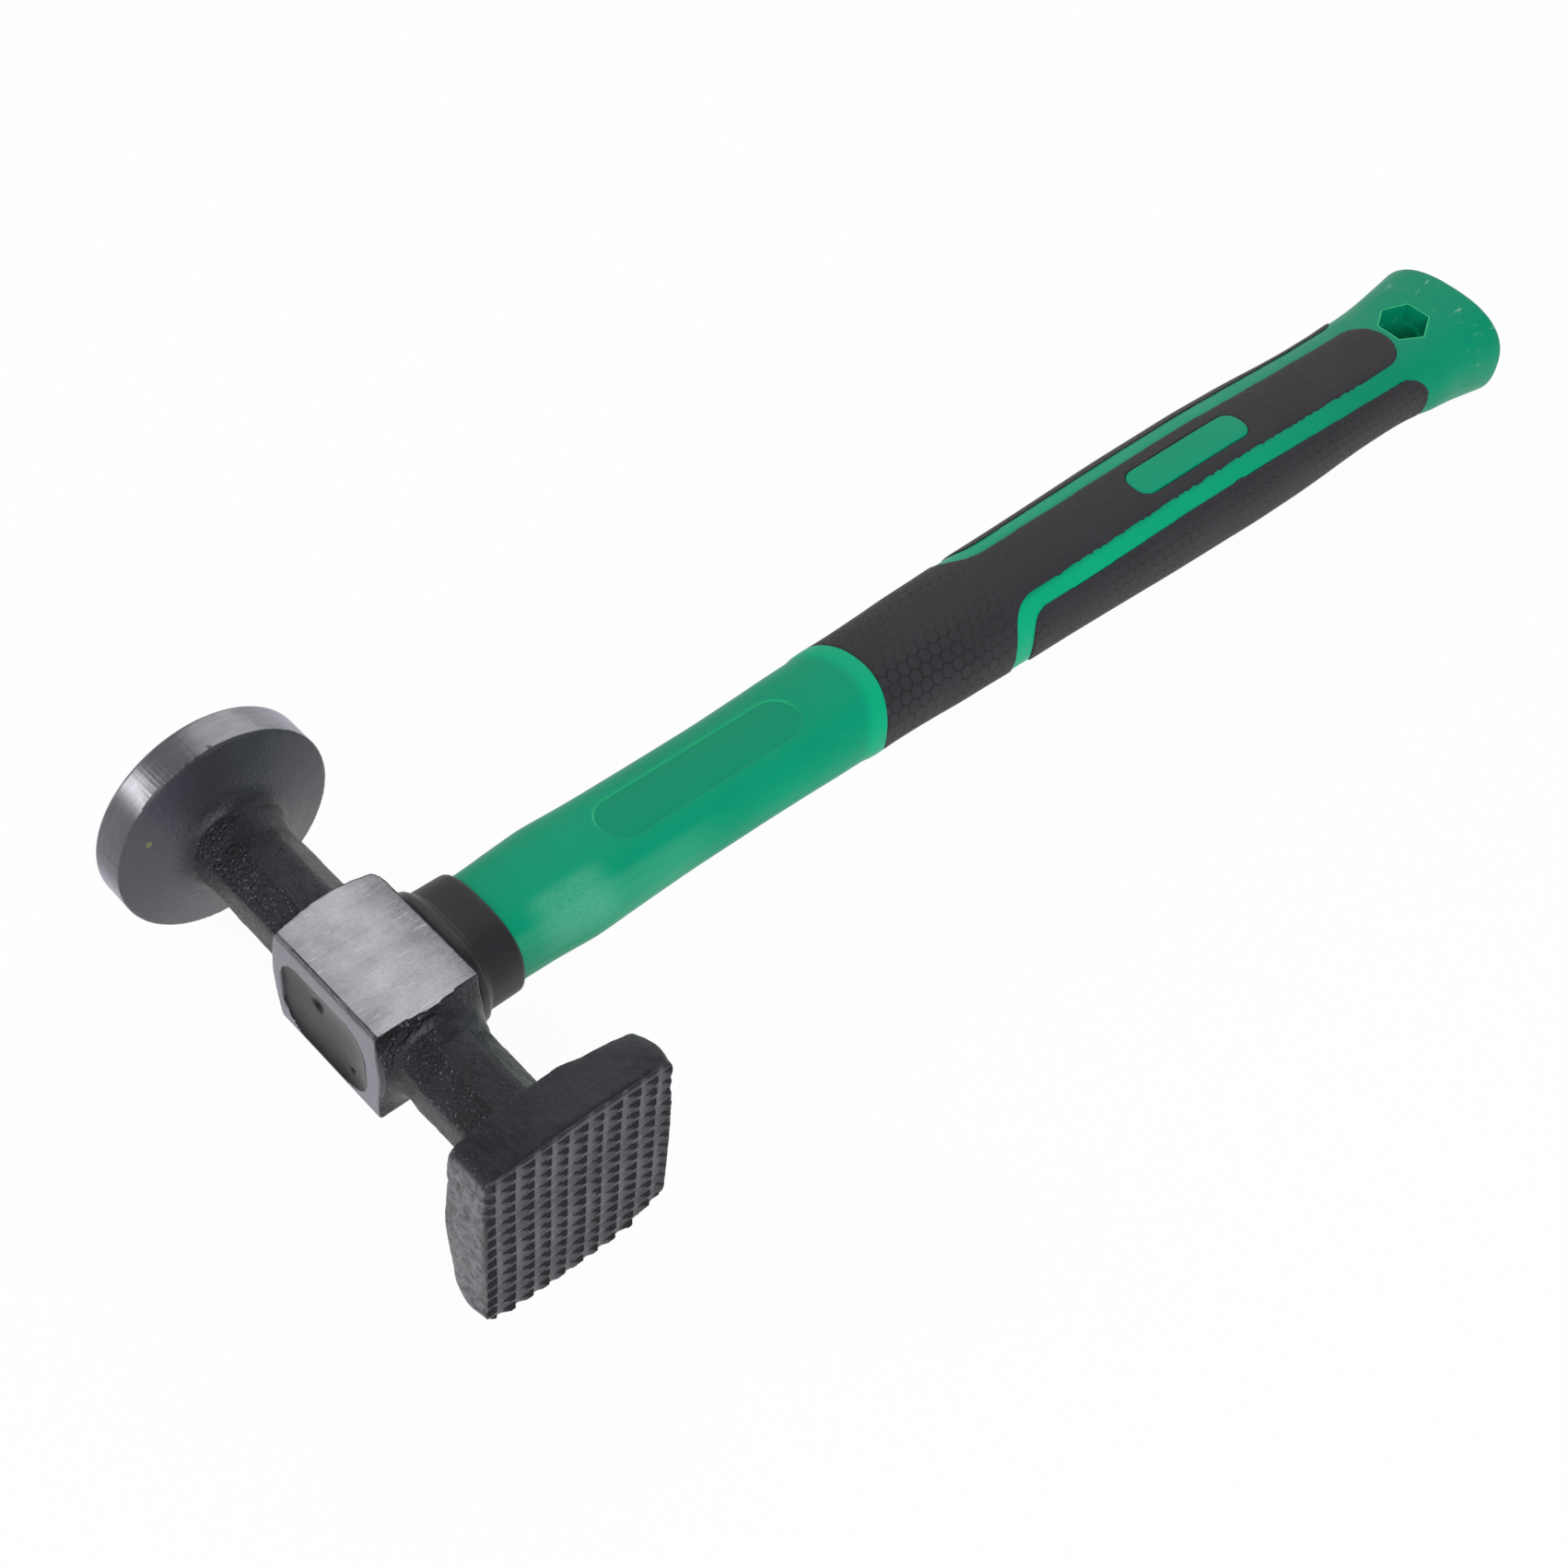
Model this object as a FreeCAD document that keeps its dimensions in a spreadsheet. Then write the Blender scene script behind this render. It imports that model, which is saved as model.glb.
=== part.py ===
import FreeCAD, Part
import math
import os
import Sketcher

# Auto body hammer: a forged double-faced head on a two-colour moulded handle.
# Everything is built about the middle of the eye: X runs down the handle to the butt, Y along the
# head towards the round face, and Z up out of the ground cheek. The finished pieces are then moved
# together, so that the origin lies under the middle of the hammer, at its lowest point.

doc = FreeCAD.newDocument("body_hammer")
dim = doc.addObject("Spreadsheet::Sheet", "dim")

# Driving sizes in millimetres. Names that end in share are plain ratios, and names that end in
# count are numbers of copies.
SIZES = [
    # Round end of the head
    ("rim_radius", 22.7, "round face disc, outside"),
    ("face_at", 56.2, "eye centre to the edge of the round face"),
    ("face_crown", 0.4, "height of the round face's dome"),
    ("rim_width", 7.7, "ground rim of the disc, along Y"),
    ("rim_edge", 0.6, "rounding between rim and face"),
    ("disc_back_rise", 3.6, "how far the disc's back rises from the rim to the neck"),
    ("hub_radius", 9.5, "root of the disc, round the neck"),
    ("hub_start", 40.0, "eye centre to where the faceted neck runs into the disc's root"),
    ("hub_fillet", 3.2, "hollow between the disc's back and its root"),
    ("round_neck_flats", 16.8, "neck at the round end, across its flats"),
    ("neck_shift", 0.5, "both necks from the head's axis, towards the top of the head"),
    # Eye block
    ("eye_face_out", 12.0, "eye centre to the top of the head, along X"),
    ("head_foot_out", 10.4, "eye centre to the foot of the head, along X"),
    ("cheek_wall", 4.6, "steel between the eye and the upper cheek"),
    ("lower_wall", 1.3, "steel between the eye and the lower cheek"),
    ("side_wall", 3.55, "steel between the eye and the block's side at the square end"),
    ("shoulder_wall", 4.15, "steel between the eye and the turned shoulder, at the round neck"),
    ("shoulder_slope_share", 0.38, "fall of that shoulder per radius"),
    ("block_corner", 6.0, "rounded corner between shoulder and foot"),
    ("cheek_bevel", 0.6, "bevel between the cheeks and the top of the head"),
    ("rod_gap_ends", 2.45, "resin between the core rod and the near end of the eye"),
    ("rod_gap_top", 1.3, "resin between the core rod and the top of the eye"),
    ("eye_corner", 6.2, "eye corner radius"),
    ("eye_shift", 1.35, "eye's middle from the handle's axis, along Y"),
    ("eye_drop", 2.0, "eye's middle below the handle's axis"),
    # Square end of the head
    ("square_neck_root", 16.9, "neck at the square end, across its flats beside the block"),
    ("square_neck_tip", 16.2, "the same neck beside the plate"),
    ("scoop", 5.4, "forged hollow between the block and the neck"),
    ("scoop_radius", 9.0, "neck radius at the bottom of that hollow"),
    ("plate_face_at", 54.7, "eye centre to the tips of the serrations"),
    ("plate_root_at", 36.6, "eye centre to where the plate's back leaves the neck"),
    ("plate_side", 9.4, "plate's thickness at its corners"),
    ("plate_hollow", 2.0, "hollow of the plate's back"),
    ("plate_width", 38.8, "serrated plate, along X"),
    ("plate_side_rise", 0.3, "bulge of its two upright sides"),
    ("plate_high", 20.6, "upper corners above the head's axis"),
    ("plate_high_rise", 1.6, "bulge of its upper side"),
    ("plate_low", 20.2, "lower corners below the head's axis"),
    ("plate_low_rise", 3.3, "bulge of its lower side"),
    ("plate_corner", 2.7, "corner radius of the plate"),
    ("plate_foot_corner", 5.0, "its blunter lower corner at the foot of the head"),
    ("tooth_pitch", 3.3, "from one serration to the next"),
    ("tooth_depth", 1.2, "depth of the grooves between them"),
    ("tooth_groove", 2.9, "width of a groove at the face"),
    ("column_count", 11, "grooves that run up the face"),
    ("row_count", 12, "grooves that run across it"),
    # Collar
    ("lip_length", 3.1, "thick lip of the collar, along X"),
    ("lip_step_side", 1.5, "how far the lip stands out beyond the ring at the sides"),
    ("lip_step_top", 1.3, "how far it stands out at the top and bottom"),
    ("lip_round", 0.9, "rounded edge of the lip"),
    ("collar_end", 21.9, "eye centre to the handle end of the collar"),
    ("ring_wall_side", 1.3, "wall of the ring at the sides"),
    ("ring_wall_top", 1.05, "wall of the ring at the top and bottom"),
    ("collar_edge", 0.7, "rounded edge of the ring"),
    ("collar_web", 1.6, "web of the collar against the head"),
    # Core rod and resin
    ("rod_width", 17.0, "core rod, along Y"),
    ("rod_height", 11.6, "core rod, along Z"),
    ("rod_corner", 5.0, "corner radius of the core rod"),
    ("rod_sink", 3.0, "rod's end below the top of the head"),
    ("rod_end", 264.0, "eye centre to the rod's inner end"),
    ("resin_sink", 0.7, "resin's surface below the top of the head"),
    # Green body, half widths and half heights at stations along X
    ("throat_width", 11.6, "half width in the collar"),
    ("throat_height", 8.9, "half height in the collar"),
    ("shoulder_at", 40.0, "shoulder behind the throat"),
    ("shoulder_width", 12.8, "half width there"),
    ("shoulder_height", 8.45, "half height there"),
    ("front_at", 60.0, "start of the flat front"),
    ("front_width", 12.4, "half width there"),
    ("front_height", 8.1, "half height there"),
    ("waist_at", 90.0, "end of the flat front"),
    ("waist_width", 12.5, "half width there"),
    ("waist_height", 8.1, "half height there"),
    ("ramp_at", 104.0, "rise towards the grip"),
    ("ramp_width", 12.75, "half width there"),
    ("ramp_height", 8.6, "half height there"),
    ("swell_at", 118.0, "front of the grip"),
    ("swell_width", 12.65, "half width there"),
    ("swell_height", 9.4, "half height there"),
    ("hold_at", 150.0, "front of the side panels"),
    ("hold_width", 13.85, "half width there"),
    ("hold_height", 9.8, "half height there"),
    ("palm_at", 188.0, "rise of the palm swell"),
    ("palm_width", 14.65, "half width there"),
    ("palm_height", 10.5, "half height there"),
    ("belly_at", 224.0, "top of the palm swell"),
    ("belly_width", 15.4, "half width there"),
    ("belly_height", 10.9, "half height there"),
    ("ease_at", 247.0, "fall of the palm swell"),
    ("ease_width", 15.35, "half width there"),
    ("ease_height", 10.1, "half height there"),
    ("heel_at", 267.0, "narrow place before the butt"),
    ("heel_width", 14.75, "half width there"),
    ("heel_height", 9.6, "half height there"),
    ("nape_at", 283.0, "start of the flare"),
    ("nape_width", 15.25, "half width there"),
    ("nape_height", 9.3, "half height there"),
    ("flare_at", 297.0, "flare of the butt"),
    ("flare_width", 16.5, "half width there"),
    ("flare_height", 10.7, "half height there"),
    ("butt_at", 309.0, "edge of the butt"),
    ("butt_width", 17.8, "half width there"),
    ("butt_height", 12.8, "half height there"),
    ("butt_cap", 1.6, "rounded end beyond that edge"),
    ("crown_share", 2.0, "radius of top and bottom, as a share of the half width"),
    ("flank_share", 1.2, "radius of the sides, as a share of the half height"),
    ("turn_share", 0.75, "radius between the two, as a share of the half height"),
    # Soft grip
    ("grip_proud", 0.3, "how far the rubber stands above the green"),
    ("grip_depth", 1.9, "how deep the rubber lies in the green"),
    ("bow_tip", 116.6, "eye centre to the tip of the green front, on the top"),
    ("bow_radius", 22.8, "radius of that bowed edge, seen from above"),
    ("arm_at", 148.8, "rear edge of the part that goes all round"),
    ("tongue_width", 14.3, "tongue on the top and bottom"),
    ("tongue_end", 285.9, "eye centre to the tip of the tongue"),
    ("arm_fillet", 10.3, "corner between the arms and the tongue"),
    ("panel_start", 153.3, "front edge of a side panel"),
    ("panel_end", 287.6, "rear edge of a side panel"),
    ("panel_inner", 10.7, "its edge from the middle, at the front"),
    ("panel_inner_rear", 11.6, "its edge from the middle, at the rear"),
    ("panel_front_corner", 6.3, "front corner of a side panel"),
    ("panel_rear_corner", 10.0, "rear corner of a side panel"),
    # Badge pad and hanging hole
    ("badge_start", 197.4, "front end of the badge pad"),
    ("badge_end", 233.5, "rear end of the badge pad"),
    ("badge_width", 7.8, "badge pad, along Y"),
    ("badge_corner", 3.4, "corner radius of the badge pad"),
    ("hole_at", 292.7, "eye centre to the hanging hole"),
    ("hole_radius", 4.3, "round bore of the hanging hole"),
    ("hex_radius", 6.1, "six-sided mouth of the hole, over its corners"),
    ("hex_floor", 6.4, "floor of the six-sided mouth above the middle of the handle"),
    # One overrun serves all cuts
    ("overrun", 3.0, "how far a cut runs past what it cuts"),
]
for row, (alias, size, note) in enumerate(SIZES, start=1):
    dim.set(f"A{row}", alias)
    dim.set(f"B{row}", str(size))
    dim.set(f"C{row}", note)
    dim.setAlias(f"B{row}", alias)
doc.recompute()

# Sizes that follow from others: the eye goes round the core rod, the block round the eye, and the
# collar round the handle's throat.
EYE_LENGTH = "(dim.rod_width + 2 * (dim.rod_gap_ends + dim.eye_shift))"
EYE_HEIGHT = "(dim.rod_height + 2 * (dim.rod_gap_top + dim.eye_drop))"
CHEEK_UP = f"({EYE_HEIGHT} / 2 - dim.eye_drop + dim.cheek_wall)"
CHEEK_DOWN = f"({EYE_HEIGHT} / 2 + dim.eye_drop + dim.lower_wall)"
BLOCK_SIDE = f"({EYE_LENGTH} / 2 - dim.eye_shift + dim.side_wall)"
BLOCK_SHOULDER = f"({EYE_LENGTH} / 2 + dim.eye_shift + dim.shoulder_wall)"
RING_WIDTH = "(dim.throat_width + dim.ring_wall_side)"
RING_HEIGHT = "(dim.throat_height + dim.ring_wall_top)"
LIP_WIDTH = f"({RING_WIDTH} + dim.lip_step_side)"
LIP_HEIGHT = f"({RING_HEIGHT} + dim.lip_step_top)"

EIGHTH_TURN_SHARE = math.sqrt(2) - 1
SIXTH_TURN_SHARE = math.sqrt(3) / 2
FULL_ROUND_SHARE = 0.99
CLOSE_SHARE = 1 / 1000


def value(expression):
    """Number that an expression on the sheet gives."""
    result = dim.evalExpression(str(expression))
    return float(getattr(result, "Value", result))


def bind(thing, **expressions):
    """Bind properties of an object to expressions."""
    for name, expression in expressions.items():
        thing.setExpression(name, expression)
    return thing


def is_at(middle, places):
    """Whether a point lies at the given X, Y and Z, where None is any place."""
    close = value("dim.overrun") * CLOSE_SHARE
    return all(place is None or abs(found - value(place)) < close for found, place in zip(middle, places))


def edges_at(shape, x=None, y=None, z=None):
    """Names of the edges whose middle lies at the given places."""
    names = []
    for number, edge in enumerate(shape.Edges, start=1):
        middle = edge.valueAt((edge.FirstParameter + edge.LastParameter) / 2)
        if is_at(middle, (x, y, z)):
            names.append(f"Edge{number}")
    return names


# Sketches

def new_sketch(body, name, role, start=None):
    """Sketch on one of the body's own planes, moved along its normal by an expression."""
    sketch = body.newObject("Sketcher::SketchObject", name)
    plane = next(f for f in body.Origin.OriginFeatures if f.Role == role)
    sketch.AttachmentSupport = [(plane, "")]
    sketch.MapMode = "FlatFace"
    if start:
        sketch.setExpression("AttachmentOffset.Base.z", start)
    return sketch


def pin(sketch, geometry, point, across, along):
    """Tie one point of a sketch to expressions for its two coordinates."""
    for kind, axis, expression in (("DistanceX", -2, across), ("DistanceY", -1, along)):
        if expression == "0":
            sketch.addConstraint(Sketcher.Constraint("PointOnObject", geometry, point, axis))
        else:
            size = Sketcher.Constraint(kind, -1, 1, geometry, point, value(expression))
            sketch.setExpression(f"Constraints[{sketch.addConstraint(size)}]", expression)


def set_radius(sketch, geometry, expression):
    size = Sketcher.Constraint("Radius", geometry, value(expression))
    sketch.setExpression(f"Constraints[{sketch.addConstraint(size)}]", expression)


def outline(sketch, corners, rises=None):
    """Closed outline through corners given as pairs of expressions.

    A side that has a rise is an arc that bows to the right of the way round by that much.
    """
    rises = rises or {}
    points = [FreeCAD.Vector(value(u), value(v), 0) for u, v in corners]
    first = sketch.GeometryCount
    ends = []
    for i, start in enumerate(points):
        stop = points[(i + 1) % len(points)]
        if i in rises:
            right = FreeCAD.Vector(stop.y - start.y, start.x - stop.x, 0).normalize()
            middle = (start + stop) / 2 + right * value(rises[i])
            sketch.addGeometry(Part.Arc(start, middle, stop))
        else:
            sketch.addGeometry(Part.LineSegment(start, stop))
        placed = sketch.getPoint(first + i, 1)
        ends.append((1, 2) if (placed - start).Length < (placed - stop).Length else (2, 1))
    for i in range(len(points)):
        after = (i + 1) % len(points)
        joint = Sketcher.Constraint("Coincident", first + i, ends[i][1], first + after, ends[after][0])
        sketch.addConstraint(joint)
        pin(sketch, first + i, ends[i][0], *corners[i])
    for i, rise in rises.items():
        (u1, v1), (u2, v2) = corners[i], corners[(i + 1) % len(points)]
        chord = f"((({u2}) - ({u1}))^2 + (({v2}) - ({v1}))^2)"
        set_radius(sketch, first + i, f"({chord} / 4 + ({rise})^2) / (2 * abs({rise}))")
    return sketch


def circle(sketch, across, along, radius):
    centre = FreeCAD.Vector(value(across), value(along), 0)
    sketch.addGeometry(Part.Circle(centre, FreeCAD.Vector(0, 0, 1), value(radius)))
    pin(sketch, 0, 3, across, along)
    set_radius(sketch, 0, radius)
    return sketch


def box_corners(left, right, low, high):
    return [(left, low), (right, low), (right, high), (left, high)]


def octagon_corners(flats, shift):
    """Corners of an eight-sided section from its size across the flats, moved across by a shift."""
    flat = f"{flats} / 2"
    turn = f"{flats} / 2 * {EIGHTH_TURN_SHARE}"
    ring = [(flat, turn), (turn, flat), (f"-{turn}", flat), (f"-{flat}", turn)]
    ring += [(f"-{flat}", f"-{turn}"), (f"-{turn}", f"-{flat}"), (turn, f"-{flat}"), (flat, f"-{turn}")]
    return [(f"{u} - {shift}", v) for u, v in ring]


def oval(sketch, half_width, half_height, grow="0"):
    """Oval of eight tangent arcs: flat crowns, tighter flanks and round turns between them.

    The half width and half height are grown alike on all sides by a third expression.
    """
    wide = f"({half_width} + {grow})"
    tall = f"({half_height} + {grow})"
    radii = {
        "flank": f"(dim.flank_share * {half_height} + {grow})",
        "turn": f"(dim.turn_share * {half_height} + {grow})",
        "crown": f"(dim.crown_share * {half_width} + {grow})",
    }
    flank, turn, crown = (value(radii[name]) for name in ("flank", "turn", "crown"))
    flank_x = value(wide) - flank
    crown_y = value(tall) - crown
    # The turn's centre is as far from each of the other two centres as their radii differ.
    apart = math.hypot(flank_x, crown_y)
    along = ((crown - turn)**2 - (flank - turn)**2 + apart**2) / (2 * apart)
    off = math.sqrt((crown - turn)**2 - along**2)
    turn_x = along * flank_x / apart + off * -crown_y / apart
    turn_y = crown_y - along * crown_y / apart + off * flank_x / apart
    low = math.atan2(turn_y, turn_x - flank_x)
    high = math.atan2(turn_y - crown_y, turn_x)
    half = math.pi
    arcs = [
        ("flank", flank_x, 0, -low, low),
        ("turn", turn_x, turn_y, low, high),
        ("crown", 0, crown_y, high, half - high),
        ("turn", -turn_x, turn_y, half - high, half - low),
        ("flank", -flank_x, 0, half - low, half + low),
        ("turn", -turn_x, -turn_y, half + low, half + high),
        ("crown", 0, -crown_y, half + high, 2 * half - high),
        ("turn", turn_x, -turn_y, 2 * half - high, 2 * half - low),
    ]
    sizes = {"flank": flank, "turn": turn, "crown": crown}
    up = FreeCAD.Vector(0, 0, 1)
    for name, x, y, start, stop in arcs:
        ring = Part.Circle(FreeCAD.Vector(x, y, 0), up, sizes[name])
        sketch.addGeometry(Part.ArcOfCircle(ring, start, stop))
    for i, (name, *_) in enumerate(arcs):
        sketch.addConstraint(Sketcher.Constraint("Tangent", i, 2, (i + 1) % len(arcs), 1))
        set_radius(sketch, i, radii[name])
    centre = f"{wide} - {radii['flank']}"
    middle = f"{tall} - {radii['crown']}"
    pin(sketch, 0, 3, centre, "0")
    pin(sketch, 2, 3, "0", middle)
    pin(sketch, 4, 3, f"-({centre})", "0")
    pin(sketch, 6, 3, "0", f"-({middle})")
    return sketch


# Features

def new_body(name):
    return doc.addObject("PartDesign::Body", name)


def feature(body, kind, name, sketch, **expressions):
    made = body.newObject(f"PartDesign::{kind}", name)
    made.Profile = sketch
    return bind(made, **expressions)


def block(body, name, role, corners, length, start=None, rises=None):
    """Pad of an outline along the plane's normal."""
    sketch = outline(new_sketch(body, f"{name}_outline", role, start), corners, rises)
    return feature(body, "Pad", name, sketch, Length=length)


def turned(body, kind, name, corners, rises=None):
    """Revolution or Groove about the head's axis of an outline given by radius and place."""
    sketch = outline(new_sketch(body, f"{name}_outline", "XY_Plane"), corners, rises)
    made = feature(body, kind, name, sketch)
    made.ReferenceAxis = (sketch, ["V_Axis"])
    return made


def softened(body, base, name, radius, *places, kind="Fillet", size="Radius"):
    """Fillet or chamfer on the edges of the body's last feature that lie at the given places."""
    doc.recompute()
    names = [edge for place in places for edge in edges_at(base.Shape, **place)]
    if not names:
        raise RuntimeError(f"{name} finds no edge")
    made = body.newObject(f"PartDesign::{kind}", name)
    made.Base = (base, sorted(set(names)))
    return bind(made, **{size: radius})


def boolean(kind, name, *shapes):
    """Union, difference or common part of other objects."""
    made = doc.addObject(kind, name)
    if kind == "Part::MultiFuse":
        made.Shapes = list(shapes)
    else:
        made.Base, made.Tool = shapes
    made.Refine = True
    return made


# Core rod

def make_rod(name):
    """Rod of a rounded section, from inside the eye down the handle."""
    body = new_body(name)
    half_width, half_height = "dim.rod_width / 2", "dim.rod_height / 2"
    corners = box_corners(f"-{half_width}", half_width, f"-{half_height}", half_height)
    start = "-dim.eye_face_out + dim.rod_sink"
    pad = block(body, f"{name}_pad", "YZ_Plane", corners, f"dim.rod_end - ({start})", start)
    softened(body, pad, f"{name}_corners", "dim.rod_corner", *[dict(y=y, z=z) for y, z in corners])
    return body


core_rod = make_rod("core_rod")
rod_bore = make_rod("rod_bore")


# Hammer head: one steel forging, and the resin in its eye

def make_eye(name, start, end):
    """Rounded block that fits the eye, along X between two places."""
    body = new_body(name)
    corners = box_corners(f"dim.eye_shift - {EYE_LENGTH} / 2", f"dim.eye_shift + {EYE_LENGTH} / 2",
                          f"-dim.eye_drop - {EYE_HEIGHT} / 2", f"-dim.eye_drop + {EYE_HEIGHT} / 2")
    pad = block(body, f"{name}_pad", "YZ_Plane", corners, f"{end} - ({start})", start)
    softened(body, pad, f"{name}_corners", "dim.eye_corner", *[dict(y=y, z=z) for y, z in corners])
    return body


def make_block():
    """Eye block with its turned shoulder, and the faceted neck of the round end."""
    body = new_body("head_block")
    plan = box_corners("-dim.eye_face_out", "dim.head_foot_out", f"-{BLOCK_SIDE}", BLOCK_SHOULDER)
    pad = block(body, "block", "XY_Plane", plan, f"{CHEEK_UP} + {CHEEK_DOWN}", f"-{CHEEK_DOWN}")
    softened(body, pad, "block_corner", "dim.block_corner", dict(x="dim.head_foot_out", y=BLOCK_SHOULDER))
    inner = "dim.round_neck_flats / 2"
    reach = f"(dim.eye_face_out + {CHEEK_DOWN})"
    fall = f"dim.shoulder_slope_share * ({reach} - {inner})"
    shoulder = turned(body, "Groove", "turned_shoulder", [
        (inner, BLOCK_SHOULDER),
        (reach, f"{BLOCK_SHOULDER} - {fall}"),
        (reach, f"{BLOCK_SHOULDER} + dim.overrun"),
    ])
    softened(body, shoulder, "cheek_bevels", "dim.cheek_bevel",
             dict(x="-dim.eye_face_out", z=CHEEK_UP), dict(x="-dim.eye_face_out", z=f"-{CHEEK_DOWN}"),
             kind="Chamfer", size="Size")
    neck = block(body, "round_neck", "XZ_Plane", octagon_corners("dim.round_neck_flats", "dim.neck_shift"),
                 "dim.hub_start + dim.overrun")
    neck.Reversed = True
    return body


def make_disc():
    """Round face: domed, with a ground rim and a coned back that runs into a round root."""
    body = new_body("round_disc")
    back = "dim.face_at - dim.rim_width"
    root = f"{back} - dim.disc_back_rise"
    # The dome is half of an arc whose middle lies on the axis.
    dome = "(dim.rim_radius^2 + dim.face_crown^2) / (2 * dim.face_crown)"
    half_chord = "sqrt(dim.rim_radius^2 + dim.face_crown^2) / 2"
    disc = turned(body, "Revolution", "disc", [
        ("0", "dim.hub_start"),
        ("dim.hub_radius", "dim.hub_start"),
        ("dim.hub_radius", root),
        ("dim.rim_radius", back),
        ("dim.rim_radius", "dim.face_at"),
        ("0", "dim.face_at + dim.face_crown"),
    ], rises={4: f"({dome} - sqrt(({dome})^2 - ({half_chord})^2))"})
    hollow = softened(body, disc, "hub_hollow", "dim.hub_fillet", dict(y=root))
    softened(body, hollow, "rim_rounding", "dim.rim_edge", dict(y="dim.face_at"))
    return body


def make_square_neck():
    """Tapered eight-sided neck of the square end, with the forged hollow where it leaves the block."""
    body = new_body("square_neck")
    sections = []
    for name, flats, place in (("neck_root", "dim.square_neck_root", f"{BLOCK_SIDE} - dim.overrun"),
                               ("neck_tip", "dim.square_neck_tip", "dim.plate_root_at + dim.overrun")):
        sketch = new_sketch(body, name, "XZ_Plane", place)
        sections.append(outline(sketch, octagon_corners(flats, "dim.neck_shift")))
    loft = body.newObject("PartDesign::AdditiveLoft", "tapered_neck")
    loft.Profile = sections[0]
    loft.Sections = sections[1:]
    turned(body, "Revolution", "scoop_ring", [
        ("0", f"-{BLOCK_SIDE} - dim.scoop"),
        ("dim.scoop_radius", f"-{BLOCK_SIDE} - dim.scoop"),
        ("dim.scoop_radius + dim.scoop", f"-{BLOCK_SIDE}"),
        ("0", f"-{BLOCK_SIDE}"),
    ], rises={1: "-dim.scoop * (1 - sqrt(2) / 2)"})
    # The hollow ends at the block's four faces.
    reach = "(dim.scoop_radius + dim.scoop + dim.overrun)"
    trim = new_sketch(body, "scoop_trim_outline", "XZ_Plane", f"{BLOCK_SIDE} + dim.scoop")
    outline(trim, box_corners(f"-{reach}", reach, f"-{reach}", reach))
    outline(trim, box_corners("-dim.eye_face_out", "dim.head_foot_out", f"-{CHEEK_DOWN}", CHEEK_UP))
    feature(body, "Pocket", "scoop_trim", trim, Length="dim.scoop + dim.overrun")
    return body


def make_plate():
    """Serrated square face with bulging sides and a hollow back that rises to the neck."""
    body = new_body("square_plate")
    half = "dim.plate_width / 2"
    corners = box_corners(f"-{half}", half, "-dim.plate_low", "dim.plate_high")
    pad = block(body, "plate", "XZ_Plane", corners, "dim.plate_face_at - dim.plate_root_at", "dim.plate_root_at",
                {0: "dim.plate_low_rise", 1: "dim.plate_side_rise",
                 2: "dim.plate_high_rise", 3: "dim.plate_side_rise"})
    top_low, foot_low, foot_high, top_high = [dict(x=x, z=z) for x, z in corners]
    rounding = softened(body, pad, "plate_corners", "dim.plate_corner", top_low, foot_high, top_high)
    softened(body, rounding, "plate_foot_corner", "dim.plate_foot_corner", foot_low)
    root = "dim.square_neck_tip / 2"
    reach = f"sqrt(({half} + dim.plate_side_rise)^2 + (dim.plate_low + dim.plate_low_rise)^2)"
    turned(body, "Groove", "plate_back", [
        (root, "-dim.plate_root_at"),
        (reach, "-dim.plate_face_at + dim.plate_side"),
        (reach, "-dim.plate_root_at + dim.overrun"),
    ], rises={0: "dim.plate_hollow"})
    # A groove is drawn twice as deep as it cuts, so that it stands open past the face.
    tip = "-dim.plate_face_at + dim.tooth_depth"
    mouth = "-dim.plate_face_at - dim.tooth_depth"
    middle = "(dim.plate_high - dim.plate_low) / 2"
    for name, role, axis, first in (
            ("column", "XY_Plane", "H_Axis", "-(dim.column_count - 1) * dim.tooth_pitch / 2"),
            ("row", "YZ_Plane", "V_Axis", f"{middle} - (dim.row_count - 1) * dim.tooth_pitch / 2")):
        corners = [(f"{first} - dim.tooth_groove", mouth), (first, tip), (f"{first} + dim.tooth_groove", mouth)]
        if role == "YZ_Plane":
            corners = [(depth, place) for place, depth in corners]
        sketch = outline(new_sketch(body, f"{name}_outline", role), corners)
        groove = feature(body, "Pocket", f"{name}_groove", sketch,
                         Length="2 * (dim.plate_low + dim.plate_low_rise + dim.overrun)")
        groove.Midplane = True
        pattern = body.newObject("PartDesign::LinearPattern", f"{name}s")
        pattern.Originals = [groove]
        pattern.Direction = (sketch, [axis])
        bind(pattern, Length=f"(dim.{name}_count - 1) * dim.tooth_pitch", Occurrences=f"dim.{name}_count")
        body.Tip = pattern
    return body


steel = boolean("Part::MultiFuse", "head_steel", make_block(), make_disc(), make_square_neck(), make_plate())
eye_cutter = make_eye("eye_cutter", "-dim.eye_face_out - dim.overrun", "dim.head_foot_out + dim.overrun")
hammer_head = boolean("Part::Cut", "hammer_head", steel, eye_cutter)
resin_fill = make_eye("resin_fill", "-dim.eye_face_out + dim.resin_sink", "dim.head_foot_out")
eye_epoxy = boolean("Part::Cut", "eye_epoxy", resin_fill, rod_bore)


# Collar, and the spigot of the handle inside it

def oval_block(body, name, half_width, half_height, start, length):
    """Pad of an oval along the handle."""
    sketch = oval(new_sketch(body, f"{name}_outline", "YZ_Plane", start), half_width, half_height)
    return feature(body, "Pad", name, sketch, Length=length)


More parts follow.
